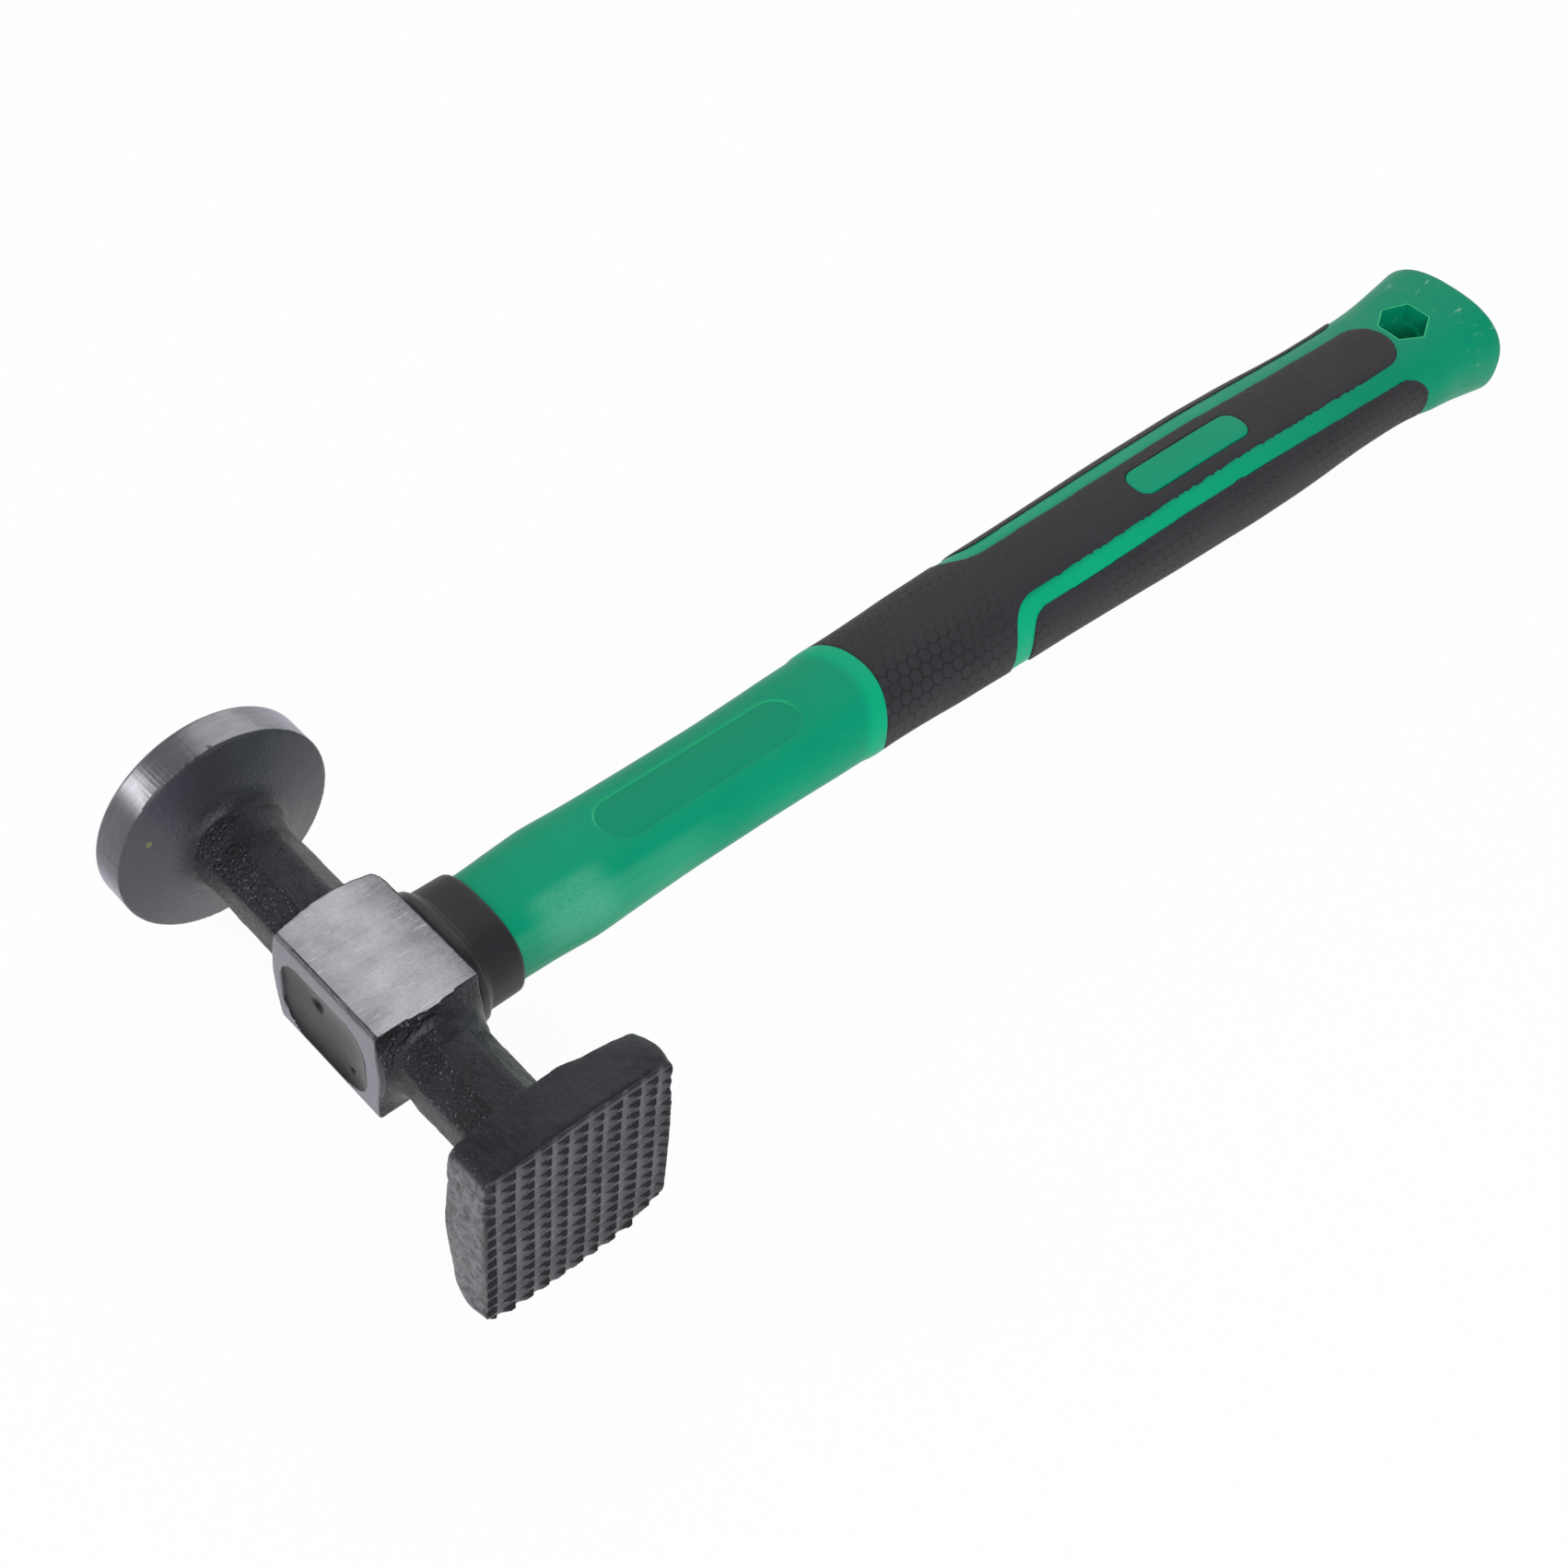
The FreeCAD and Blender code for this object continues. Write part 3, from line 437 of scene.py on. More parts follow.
# A die cut the columns with a flat floor, and slanted rows across them. No two of them are alike.
TOOTH_DEPTH, FLOOR_OF_COLUMN, STEEP_SIDE = 0.85, 0.85, 0.75
chance = np.random.default_rng(7)
COLUMNS = -20.5 + np.cumsum(3.72 + chance.uniform(-0.42, 0.42, 11))
ROWS = 22.6 - np.cumsum(3.15 + chance.uniform(-0.16, 0.16, 15))


def cut_teeth(places, inside):
    """Depth of the face below its teeth's tips, and the painted shade on their steep sides and the painted
    highlight on their edges, each of 0 to 1.
    """
    x, z = places[:, 0], places[:, 2]
    to_columns = x[:, None] - COLUMNS + 0.12 * np.sin(z / 6)[:, None]
    to_column = np.take_along_axis(to_columns, np.abs(to_columns).argmin(1)[:, None], 1)[:, 0]
    wall_of_column = np.where(to_column < 0, 0.6, 2.1)
    across = np.clip((np.abs(to_column) - FLOOR_OF_COLUMN / 2) / wall_of_column, 0, 1)
    lean = z + 0.035 * x + 0.12 * np.sin(x / 5)
    row = np.searchsorted(-ROWS, -lean) - 1
    start = ROWS[np.clip(row, 0, len(ROWS) - 1)]
    length = start - ROWS[np.clip(row + 1, 0, len(ROWS) - 1)]
    run = start - lean
    gentle = 0.95 * (run - STEEP_SIDE) / np.maximum(length - STEEP_SIDE, 0.1)
    down = np.where(run < STEEP_SIDE, run / STEEP_SIDE, 1 - gentle)
    tip = np.minimum(across, np.clip(down, 0, 1))
    worked = ramp(inside + 0.7 * ramp(-z, 17, 21), 0.1, 0.9)
    # Painted shade on the steep sides of the teeth, and a painted highlight on their crests and along the
    # floors of the columns.
    painted_shade_side = (run < STEEP_SIDE * 1.05) * (down < across + 0.1) * (across > 0.1)
    painted_highlight_edge = (run > length - 0.32) * 0.95 + (across < 0.08) * (0.4 + 0.2 * np.sin(7.3 * row))
    return TOOTH_DEPTH * (1 - tip) * worked, painted_shade_side * worked, np.clip(painted_highlight_edge, 0, 1) * worked


level_face(head, lambda places, inside: cut_teeth(places, inside)[0])

# Forging leaves long waves and a coarse skin, which the grinding takes off again.
UPPER_CHEEK, LOWER_CHEEK, TOP_OF_HEAD, BLOCK_MIDDLE = 11.7, -12.4, -12.0, 1
MOST_TRIANGLES = 190000


def from_cheeks(places):
    """Distance of the places from the plane of the nearer cheek."""
    return np.minimum(np.abs(places[:, 2] - UPPER_CHEEK), np.abs(places[:, 2] - LOWER_CHEEK))


co = points_of(head)
radius = np.hypot(co[:, 0], co[:, 2])
on_block = (np.abs(co[:, 1] - BLOCK_MIDDLE) < 17) & (np.abs(co[:, 0]) < 12.5)
cheek = on_block & (from_cheeks(co) < 0.12)
top_of_head = on_block & (np.abs(co[:, 0] - TOP_OF_HEAD) < 0.2)
bright_disc = (co[:, 1] > 48.8) & (radius > 22) | (co[:, 1] > 56)
forged = np.where(cheek | top_of_head | bright_disc, 0, 1) * ramp(co[:, 1], -53.3, -52.2)
weigh(head, "forged", forged * (1 - 0.8 * ramp(co[:, 1], 44, 46)))
for name, size, strength in (("forging_waves", 5.5, 0.3), ("forging_grain", 1.1, 0.12)):
    texture = bpy.data.textures.new(name, "CLOUDS")
    texture.noise_scale, texture.noise_depth = size, 2
    modify(head, "DISPLACE", texture=texture, strength=strength, mid_level=0.5, texture_coords="LOCAL",
           vertex_group="forged")
triangles = sum(len(face.vertices) - 2 for face in head.data.polygons)
modify(head, "DECIMATE", ratio=min(1, MOST_TRIANGLES / triangles))
pick(head)
bpy.ops.object.shade_smooth_by_angle(angle=math.radians(38))

# The cheeks are ground flat, and nothing stands past the box of the solid.
co = points_of(head)
for flat in (UPPER_CHEEK, LOWER_CHEEK):
    on_flat = (np.abs(co[:, 2] - flat) < 0.1) & (np.abs(co[:, 1] - BLOCK_MIDDLE) < 17)
    co[on_flat & (np.abs(co[:, 0]) < 12.2), 2] = flat
co = np.clip(co, [-22.69, SQUARE_FACE_AT, -23.49], [22.69, ROUND_FACE_AT, 22.69])
move_points(head, co)

# Each vertex keeps what was done to it there, for the steel's finish.
normal = normals_of(head)
radius = np.hypot(co[:, 0], co[:, 2])
on_cheek = ramp(np.abs(normal[:, 2]), 0.93, 0.985) * (from_cheeks(co) < 0.3)
on_cheek *= (np.abs(co[:, 1] - BLOCK_MIDDLE) < 17.5) & (np.abs(co[:, 0]) < 12.4)
on_rim = ramp(co[:, 1], 48.45, 48.85) * ramp(radius, 22.3, 22.5)
on_crown = ramp(-co[:, 0], 10.9, 11.2) * (np.abs(co[:, 1]) < 17) * ramp(-normal[:, 0], 0.22, 0.4)
remember(head, "cheek", on_cheek)
remember(head, "rim", np.maximum(on_rim, ramp(co[:, 1], 55.8, 56.0)))
remember(head, "crown", on_crown)
remember(head, "bevel", 1 - ramp(-normal[:, 0], 0.72, 0.93))
on_face = (co[:, 1] < -53) & (normal[:, 1] < -0.3)
shades = cut_teeth(co, to_border(co))
remember(head, "painted_shade_side", shades[1] * on_face)
remember(head, "painted_highlight_edge", shades[2] * on_face)
diagonal = np.maximum(ramp(normal @ [-0.707, 0, 0.707], 0.72, 0.95),
                      0.6 * ramp(normal @ [-0.85, 0, -0.5], 0.5, 0.9))
necks = ramp(np.abs(np.abs(co[:, 1]) - 28), 17, 14)
back_of_disc = 0.5 * ramp(co[:, 1], 43, 45) * ramp(radius, 22, 12)
block_side = 0.9 * ramp(np.abs(normal[:, 1]), 0.6, 0.85) * (np.abs(co[:, 1]) < 18) * (np.abs(co[:, 0]) < 13)
plate_side = 0.7 * ramp(np.abs(normal[:, 0]), 0.6, 0.9) * (co[:, 1] < -45)
pebbles = np.maximum.reduce([diagonal, block_side, plate_side, back_of_disc, np.full(len(co), 0.2)])
pebbles = pebbles * (0.45 + 0.55 * necks) * (0.35 + 0.65 * ramp(co[:, 1], -54.0, -53.4))
remember(head, "pebbles", pebbles)
remember(head, "disc_back", ramp(co[:, 1], 44.6, 46.2) * (co[:, 1] < 49))
scraped = ramp(np.abs(normal[:, 0]), 0.7, 0.95) * ramp(co[:, 1], -43.5, -45)
remember(head, "scraped", scraped * ramp(co[:, 1], -54.2, -53.5))
into_part_frame(head)

# The ground steel has ragged edges, where chips of the black skin are left on it.
steel = Finish("black_forged_steel", IOR=1.5, Specular_IOR_Level=0.44, Specular_Tint=(0.92, 0.94, 1.0, 1))
kept = {name: steel.remembered(name) for name in ("cheek", "rim", "crown", "bevel", "pebbles", "scraped",
                                                  "painted_shade_side", "painted_highlight_edge", "disc_back")}
down_handle, along_head, up = steel.axis("X"), steel.axis("Y"), steel.axis("Z")
chips = steel.noise(1.1, 4, 0.65) - 0.5
cheek = (kept["cheek"] + chips * 0.8).step(0.44, 0.52)
rim = (kept["rim"] + chips * 0.3).step(0.45, 0.55)
crown = (kept["crown"] + chips * 0.3).step(0.4, 0.5)
ground = cheek.larger(rim).larger(crown)
on_skin = 1 - ground
brush = steel.noise(1, 3, 0.6, steel.stretched(0.1, 1.25, 1.25))
hairs = steel.noise(1, 2, 0.6, steel.stretched(0.22, 2.4, 2.4)).step(0.62, 0.7)
hairs = hairs * steel.noise(7, 2).step(0.44, 0.6)
turned = steel.noise(1, 2, 0.5, steel.stretched(0.25, 1.3, 0.25))
pits = steel.noise(0.9, 1).step(0.77, 0.81)
grain = steel.noise(0.5, 2, 0.55)
patches = steel.noise(8, 3)

# The black skin has pale specks that are partly painted glints, painted shade on the steep sides of the
# teeth and a painted highlight on their edges, a back of the disc painted paler as a reflection of the
# floor, one fleck of paint and scrapes.
FLECK_AT = {"X": -160.05, "Y": 46.3, "Z": 32.1}
# Pale specks on the pebbled skin, partly painted glints where its facets face the lamps.
specks_and_glints = steel.noise(0.55, 1).step(0.65, 0.72) * kept["pebbles"]
from_fleck = sum((steel.axis(name) - place).squared() for name, place in FLECK_AT.items())
fleck = (from_fleck + (grain - 0.5) * 0.9).step(0.4, 0.25)
scrapes = kept["scraped"] * steel.noise(1.9, 4, 0.75).step(0.36, 0.62)
skin = steel.layered(
    steel.colour(patches.step(0.35, 0.65), srgb(12, 12, 17), srgb(25, 25, 32)),
    (steel.noise(1.3, 4, 0.7).step(0.6, 0.74) * 0.45, srgb(64, 64, 72)),
    (specks_and_glints * 0.7, srgb(132, 132, 140)),
    (kept["painted_shade_side"] * 0.8, srgb(12, 12, 15)),
    (kept["painted_highlight_edge"] * 0.75, srgb(98, 98, 105)),
    # Painted reflection of the floor: the back of the disc is paler, most of all towards the top of the
    # head.
    (kept["disc_back"] * (0.42 + 0.3 * down_handle.step(-146, -158)), srgb(76, 76, 85)),
    (fleck * 0.7, srgb(122, 124, 70)),
    (scrapes * 0.75, srgb(116, 116, 122)))

# The cheek's bright band across its middle is a painted highlight, and the rim is darker over one patch of
# its side.
painted_highlight_and_grain = down_handle.step(-131, -143) * (1 - down_handle.step(-147, -157) * 0.35) * 0.62
painted_highlight_and_grain = (painted_highlight_and_grain + (brush - 0.5) * 0.42 + 0.13
         + (steel.noise(5.5, 2, 0.5) - 0.5) * 0.6 + (grain - 0.5) * 0.4)
bright = steel.colour(painted_highlight_and_grain, srgb(88, 87, 91), srgb(186, 185, 190))
bright = steel.colour(hairs * 0.45, bright, srgb(228, 228, 231))
crown_grey = steel.colour(brush, srgb(112, 111, 116), srgb(148, 147, 152))
# Painted shade: the crown's rounded edges are darker where they turn away from the crown.
crown_grey = steel.colour(kept["bevel"] * 0.75, crown_grey, srgb(66, 65, 70))
height = up - MIDDLE_OF_EYE.z
rim_dark_patch = height.step(18.5, 13.5) * height.step(-4, 3) * down_handle.step(-144, -150)
rim_dark_patch = rim_dark_patch * along_head.step(55.0, 54.5)
rim_grey = steel.colour(turned.step(0.25, 0.75) * 0.4 + patches * 0.6,
                        srgb(122, 121, 126), srgb(150, 149, 154))
rim_grey = steel.colour(rim_dark_patch * 0.6, rim_grey, srgb(66, 65, 69))
shine = steel.layered(bright, (crown, crown_grey), (rim, rim_grey), (pits * 0.8, srgb(50, 49, 52)))
roughness = (0.4 - ground * 0.06 - rim * 0.05 - kept["pebbles"] * on_skin * 0.1
             - kept["disc_back"] * (1 - rim) * 0.14 + kept["painted_shade_side"] * 0.3
             + (grain - 0.5) * 0.2 * on_skin + (brush - 0.5) * cheek * 0.14)
coarse = steel.bump(steel.noise(0.7, 3, 0.65) * kept["pebbles"] * on_skin, 0.7)
steel.set(Base_Color=steel.colour(ground, skin, shine), Metallic=ground, Roughness=roughness,
          Normal=steel.bump(brush * cheek, 0.016, coarse))
head.data.materials.append(steel.material)
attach(head, "root")
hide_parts("hammer_head")

# Resin in the eye: dark epoxy, poured round the end of the handle's core. It sank a little as it
# set, crept up the walls of the eye, and kept one dimple and one pit.

EYE = dict(left=-11.0, right=13.7, low=-11.1, high=7.1, corner=6.2)
RESIN_FOOT, RESIN_TOP, RESIN_SAG = 10.2, -11.38, 0.42
DIMPLES = ((3.6, 1.7, 1.35, 0.5), (-6.15, -7.2, 0.45, 0.45))


def ringed_solid(name, outline, stations):
    """Solid of rings along X. Each station is (x, width, height, shift along Y, shift along Z)."""
    bpy.ops.object.select_all(action="DESELECT")
    bpy.ops.mesh.primitive_circle_add(vertices=len(outline), radius=1, fill_type="NGON")
    piece = bpy.context.object
    piece.name = name
    at, width, height, side, lift = stations[0]
    for vertex, (across, up) in zip(piece.data.vertices, outline):
        vertex.co = (at, side + across * width, lift + up * height)
    bpy.ops.object.mode_set(mode="EDIT")
    bpy.ops.mesh.select_all(action="SELECT")
    for station in stations[1:]:
        step = [station[0] - at, station[3] - side, station[4] - lift]
        bpy.ops.mesh.extrude_region_move(TRANSFORM_OT_translate={"value": step})
        bpy.ops.transform.resize(value=(1, station[1] / width, station[2] / height),
                                 center_override=(station[0], station[3], station[4]))
        at, width, height, side, lift = station
    bpy.ops.mesh.select_all(action="SELECT")
    bpy.ops.mesh.normals_make_consistent(inside=False)
    bpy.ops.object.mode_set(mode="OBJECT")
    return piece


def upright_rectangle(half_side, half_lift, corner, steps):
    """Outline of a rectangle across the handle, with round corners."""
    return rounded([(side * half_side, lift * half_lift, corner)
                    for side, lift in ((1, -1), (1, 1), (-1, 1), (-1, -1))], steps)


eye_side, eye_lift = (EYE["left"] + EYE["right"]) / 2, (EYE["low"] + EYE["high"]) / 2
half_side, half_lift = EYE["right"] - eye_side, EYE["high"] - eye_lift
throat = upright_rectangle(half_side, half_lift, EYE["corner"], 14)
throat = np.array(throat + throat[:1])
walked = np.concatenate([[0], np.cumsum(np.hypot(*np.diff(throat, axis=0).T))])
even = np.arange(128) / 128 * walked[-1]
eye_outline = list(zip(np.interp(even, walked, throat[:, 0]) / half_side,
                       np.interp(even, walked, throat[:, 1]) / half_lift))
shrinking = (*np.linspace(1, 0.93, 9), *np.linspace(0.9, 0.04, 26))
dish = [(RESIN_FOOT, 1.0)] + [(RESIN_TOP + RESIN_SAG * (1 - s * s), s) for s in shrinking]
resin = ringed_solid("eye_resin", eye_outline,
                     [(x, half_side * s, half_lift * s, eye_side, eye_lift) for x, s in dish])

# It crept up along the walls, widely on its low side. A dimple has its Y, Z, reach and depth.
co = points_of(resin)
front = co[:, 0] < 0
wall = [(eye_side + y * half_side, eye_lift + z * half_lift) for y, z in eye_outline]
to_wall = nearest_on(wall, co[:, 1:], closed=True)[1]
high_side = ramp(0.75 * co[:, 1] + 0.66 * co[:, 2], -3, 9)
crept = (1 - high_side) * 0.5 * np.exp(-to_wall / 1.7) + high_side * 0.16 * np.exp(-to_wall / 0.5)
co[:, 0] -= front * crept
for y, z, reach, depth in DIMPLES:
    away = ((co[:, 1] - y) ** 2 + (co[:, 2] - z) ** 2) / reach ** 2
    co[:, 0] += front * depth * np.exp(-away ** 1.5)
move_points(resin, co)
pick(resin)
bpy.ops.object.shade_smooth_by_angle(angle=math.radians(40))
into_part_frame(resin)

epoxy = Finish("poured_dark_epoxy", IOR=1.25, Specular_IOR_Level=0.33, Specular_Tint=(0.93, 0.96, 1.0, 1))
# Painted shadow: a dark ragged band on the resin along the eye's wall on the side of the round face.
painted_wall_shadow = epoxy.axis("Y").step(11.7, 12.2) * epoxy.noise(0.9, 2).step(0.42, 0.55)
epoxy_colour = epoxy.colour(epoxy.noise(4, 2), srgb(12, 13, 17), srgb(22, 23, 29))
epoxy.set(Base_Color=epoxy.colour(painted_wall_shadow * 0.9, epoxy_colour, srgb(6, 6, 7)),
          Roughness=epoxy.noise(2.5, 2) * 0.1 + 0.12, Normal=epoxy.bump(epoxy.noise(5, 1), 0.05))
resin.data.materials.append(epoxy.material)
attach(resin, "root")
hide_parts("eye_epoxy")

# Collar: a stepped ring of black moulded plastic that is pushed over the handle's front end and
# covers the joint under the head.

OVAL_POWER, OVAL_FLATNESS = 2.5, 0.72
COLLAR_SIDEWAYS = -0.45
COLLAR_PROFILE = [(10.4, 12.2, 9.4), (10.4, 13.9, 10.8), (10.5, 14.12, 11.02), (10.75, 14.24, 11.14),
                  (11.4, 14.27, 11.16), (12.4, 14.2, 11.1), (13.0, 14.0, 10.9), (13.45, 13.6, 10.55),
                  (13.75, 13.15, 10.2), (14.0, 12.95, 10.05), (14.4, 12.88, 10.0), (16, 12.85, 9.98),
                  (19, 12.81, 9.95), (20.9, 12.78, 9.93), (21.4, 12.72, 9.88), (21.75, 12.55, 9.72),
                  (21.9, 12.3, 9.5), (21.9, 11.95, 9.25), (21.75, 11.7, 9.02), (21.5, 11.63, 8.93),
                  (12.0, 11.62, 8.92), (12.0, 10.6, 8.0), (10.4, 10.6, 8.0)]


def squarer(share):
    """Cosine or sine of an ellipse's turn, drawn out towards a rectangle."""
    return np.sign(share) * np.abs(share) ** (2 / OVAL_POWER)


def oval_outline(count):
    """Unit oval between an ellipse and a rectangle, with points evenly spaced along it."""
    turn = np.linspace(0, 2 * np.pi, 4001)
    y, z = squarer(np.cos(turn)), squarer(np.sin(turn))
    run = np.concatenate([[0], np.cumsum(np.hypot(np.diff(y), np.diff(z) * OVAL_FLATNESS))])
    even = np.interp(np.arange(count) / count * run[-1], run, turn)
    return list(zip(squarer(np.cos(even)), squarer(np.sin(even))))


def ringed_tube(name, outline, stations):
    """Closed ring-shaped solid: the stations go up the outside and back down the inside."""
    piece = ringed_solid(name, outline, stations)
    bpy.ops.object.mode_set(mode="EDIT")
    bpy.ops.mesh.select_mode(type="FACE")
    bpy.ops.mesh.select_all(action="DESELECT")
    bpy.ops.object.mode_set(mode="OBJECT")
    for face in piece.data.polygons:
        face.select = len(face.vertices) == len(outline)
    bpy.ops.object.mode_set(mode="EDIT")
    bpy.ops.mesh.bridge_edge_loops()
    bpy.ops.mesh.select_all(action="SELECT")
    bpy.ops.mesh.normals_make_consistent(inside=False)
    bpy.ops.object.mode_set(mode="OBJECT")
    return piece


collar = ringed_tube("neck_collar", oval_outline(128),
                     [(x, width, height, COLLAR_SIDEWAYS, 0) for x, width, height in COLLAR_PROFILE])
pick(collar)
bpy.ops.object.shade_smooth_by_angle(angle=math.radians(50))
into_part_frame(collar)

plastic = Finish("black_collar_plastic", IOR=1.48, Specular_IOR_Level=0.42,
                 Specular_Tint=(0.93, 0.95, 1.0, 1))
lip = plastic.axis("X").step(-129.4, -130.1)
plastic.set(Base_Color=plastic.colour(plastic.noise(2.5, 3), srgb(20, 20, 23), srgb(31, 31, 35)),
            Roughness=0.42 - lip * 0.12 + plastic.noise(1.2, 2) * 0.1,
            Normal=plastic.bump(plastic.noise(0.5, 3), 0.02))
collar.data.materials.append(plastic.material)
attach(collar, "root")
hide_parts("head_collar")

# Core rod: pultruded fibreglass, hidden in the eye and the handle. The CAD solid has its shape, and
# gets straw-coloured resin with glass fibres that run along it.

glass = Finish("pultruded_fibreglass", IOR=1.5)
fibres = glass.noise(1, 3, 0.6, glass.stretched(0.03, 2.5, 2.5))
glass.set(Base_Color=glass.colour(fibres, srgb(188, 180, 132), srgb(222, 216, 178)),
          Roughness=fibres * 0.2 + 0.35, Normal=glass.bump(fibres, 0.03))
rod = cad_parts["core_rod"]
rod.data.materials.clear()
rod.data.materials.append(glass.material)

# Handle body: hard green plastic, moulded over the core rod. Its bare front has a shallow oval mark
# above and below, beds for the soft grip leave two stripes and a badge pad, and the flared butt has
# a hanging hole with a six-sided mouth.

# Half widths, half heights and shifts to the side of the moulding, at places along it.
WIDTHS = [(12, 11.5), (21.9, 11.5), (28, 11.78), (34, 12.25), (40, 12.7), (48, 12.47), (56, 12.28),
          (66, 12.14), (80, 12.15), (90, 12.36), (104, 12.66), (112, 12.66), (118, 12.52), (128, 12.78),
          (136, 13.2), (144, 13.42), (152, 13.7), (168, 13.93), (184, 14.35), (200, 14.8), (216, 15.07),
          (232, 15.32), (240, 15.32), (250, 15.08), (258, 14.73), (267, 14.52), (275, 14.6),
          (283, 15.02), (290, 15.85), (297, 16.32), (304, 17.1), (309, 17.7)]
HEIGHTS = [(12, 8.85), (23, 8.8), (40, 8.36), (52, 8.02), (92, 8.0), (104, 8.47), (112, 9.0),
           (118, 9.27), (130, 9.53), (150, 9.7), (172, 10.08), (188, 10.4), (206, 10.8), (224, 10.85),
           (240, 10.25), (255, 9.75), (270, 9.4), (283, 9.2), (291, 9.65), (300, 11.1), (309, 12.7)]
SIDEWAYS = [(12, -0.42), (24, -0.42), (32, -0.22), (48, -0.2), (64, -0.05), (80, 0), (92, 0.12),
            (112, 0.3), (130, 0.42), (160, 0.42), (200, 0.36), (220, 0.25), (240, 0.1), (262, 0),
            (281, 0), (291, -0.7), (300, -0.6), (309, -0.6)]
BODY_LENGTH = 309


def eased(table, places):
    """Smooth curve through a table of (place, size), without overshoot."""
    x, y = np.array(table, float).T
    run, rise = np.diff(x), np.diff(y)
    slope = rise / run
    tangent = np.concatenate([[slope[0]], np.zeros(len(x) - 2), [slope[-1]]])
    for k in range(1, len(x) - 1):
        if slope[k - 1] * slope[k] > 0:
            a, b = 2 * run[k] + run[k - 1], run[k] + 2 * run[k - 1]
            tangent[k] = (a + b) / (a / slope[k - 1] + b / slope[k])
    k = np.clip(np.searchsorted(x, places, side="right") - 1, 0, len(run) - 1)
    t = (places - x[k]) / run[k]
    return ((1 + 2 * t) * (1 - t) ** 2 * y[k] + t * (1 - t) ** 2 * run[k] * tangent[k]
            + t * t * (3 - 2 * t) * y[k + 1] + t * t * (t - 1) * run[k] * tangent[k + 1])


def handle_stations(start, end, grow, spacing=1.6):
    """Rings of the handle's surface between two places, grown by a little or shrunk."""
    places = np.linspace(start, end, int((end - start) / spacing) + 1)
    sizes = zip(places, eased(WIDTHS, places), eased(HEIGHTS, places), eased(SIDEWAYS, places))
    return [(x, width + grow, height + grow, sideways, 0) for x, width, height, sideways in sizes]


def cut(piece, operation, tool, keep=False):
    """Boolean with another piece, which is removed unless it is kept."""
    modify(piece, "BOOLEAN", operation=operation, object=tool, solver="EXACT")
    if not keep:
        bpy.data.objects.remove(tool)


PAST_HANDLE = 20


def prism(name, outline, low=-PAST_HANDLE, high=PAST_HANDLE):
    """Upright solid on an outline as seen from above."""
    bpy.ops.object.select_all(action="DESELECT")
    bpy.ops.mesh.primitive_circle_add(vertices=len(outline), radius=1, fill_type="NGON")
    piece = bpy.context.object
    piece.name = name
    for vertex, (x, y) in zip(piece.data.vertices, outline):
        vertex.co = (x, y, low)
    bpy.ops.object.mode_set(mode="EDIT")
    bpy.ops.mesh.select_all(action="SELECT")
    bpy.ops.mesh.extrude_region_move(TRANSFORM_OT_translate={"value": (0, 0, high - low)})
    bpy.ops.mesh.select_all(action="SELECT")
    bpy.ops.mesh.normals_make_consistent(inside=False)
    bpy.ops.object.mode_set(mode="OBJECT")
    return piece


# Plans of the soft parts and the badge pad as seen from above. The near edge of the tongue is frayed.
BOW_AT, BOW_RADIUS = 93.8, 22.8
TONGUE_FROM, TONGUE_TO, TONGUE_HALF = 148.8, 285.9, 7.15
PANEL_FROM, PANEL_TO, PAST_SIDE = 153.3, 287.6, 22


def oblong(start, end, half_width, corner, steps):
    """Outline of a rectangle with round corners, its middle on the X axis."""
    return rounded([(start, -half_width, corner), (end, -half_width, corner),
                    (end, half_width, corner), (start, half_width, corner)], steps)


def ring(middle, radius, turns):
    """Points round a middle on the X axis, at turns in degrees."""
    return [(middle + radius * math.cos(a), radius * math.sin(a)) for a in np.radians(turns)]


handle_outline = oval_outline(112)
bow = ring(BOW_AT, BOW_RADIUS, np.linspace(60, -60, 61))
frayed = [(x, -7.2 - 0.45 * chance.random() ** 2) for x in np.arange(166, 268, 0.9)]
sleeve_plan = bow + rounded([(TONGUE_FROM, -PAST_HANDLE), (TONGUE_FROM, -TONGUE_HALF, 10.3), *frayed,
                             (TONGUE_TO, -TONGUE_HALF, 7.1), (TONGUE_TO, TONGUE_HALF, 7.1),
                             (TONGUE_FROM, TONGUE_HALF, 10.3), (TONGUE_FROM, PAST_HANDLE)], 14)
panel_plan = rounded([(PANEL_FROM, 10.7, 6.3), (PANEL_TO, 11.6, 10.0), (PANEL_TO, PAST_SIDE),
                      (PANEL_FROM, PAST_SIDE)], 14)
badge_plan = oblong(197.4, 233.5, 3.9, 3.4, 10)
plans = {"sleeve": sleeve_plan, "near": [(x, -y) for x, y in panel_plan], "far": panel_plan}
rooms = {}
bed = ringed_solid("grip_bed", handle_outline, handle_stations(100, 300, -1.9, 2.5))
for name, plan in plans.items():
    rooms[name] = prism(f"room_{name}", plan)
    if name == "sleeve":
        cut(rooms[name], "DIFFERENCE", prism("badge_room", badge_plan))
    cut(rooms[name], "DIFFERENCE", bed, keep=True)
bpy.data.objects.remove(bed)

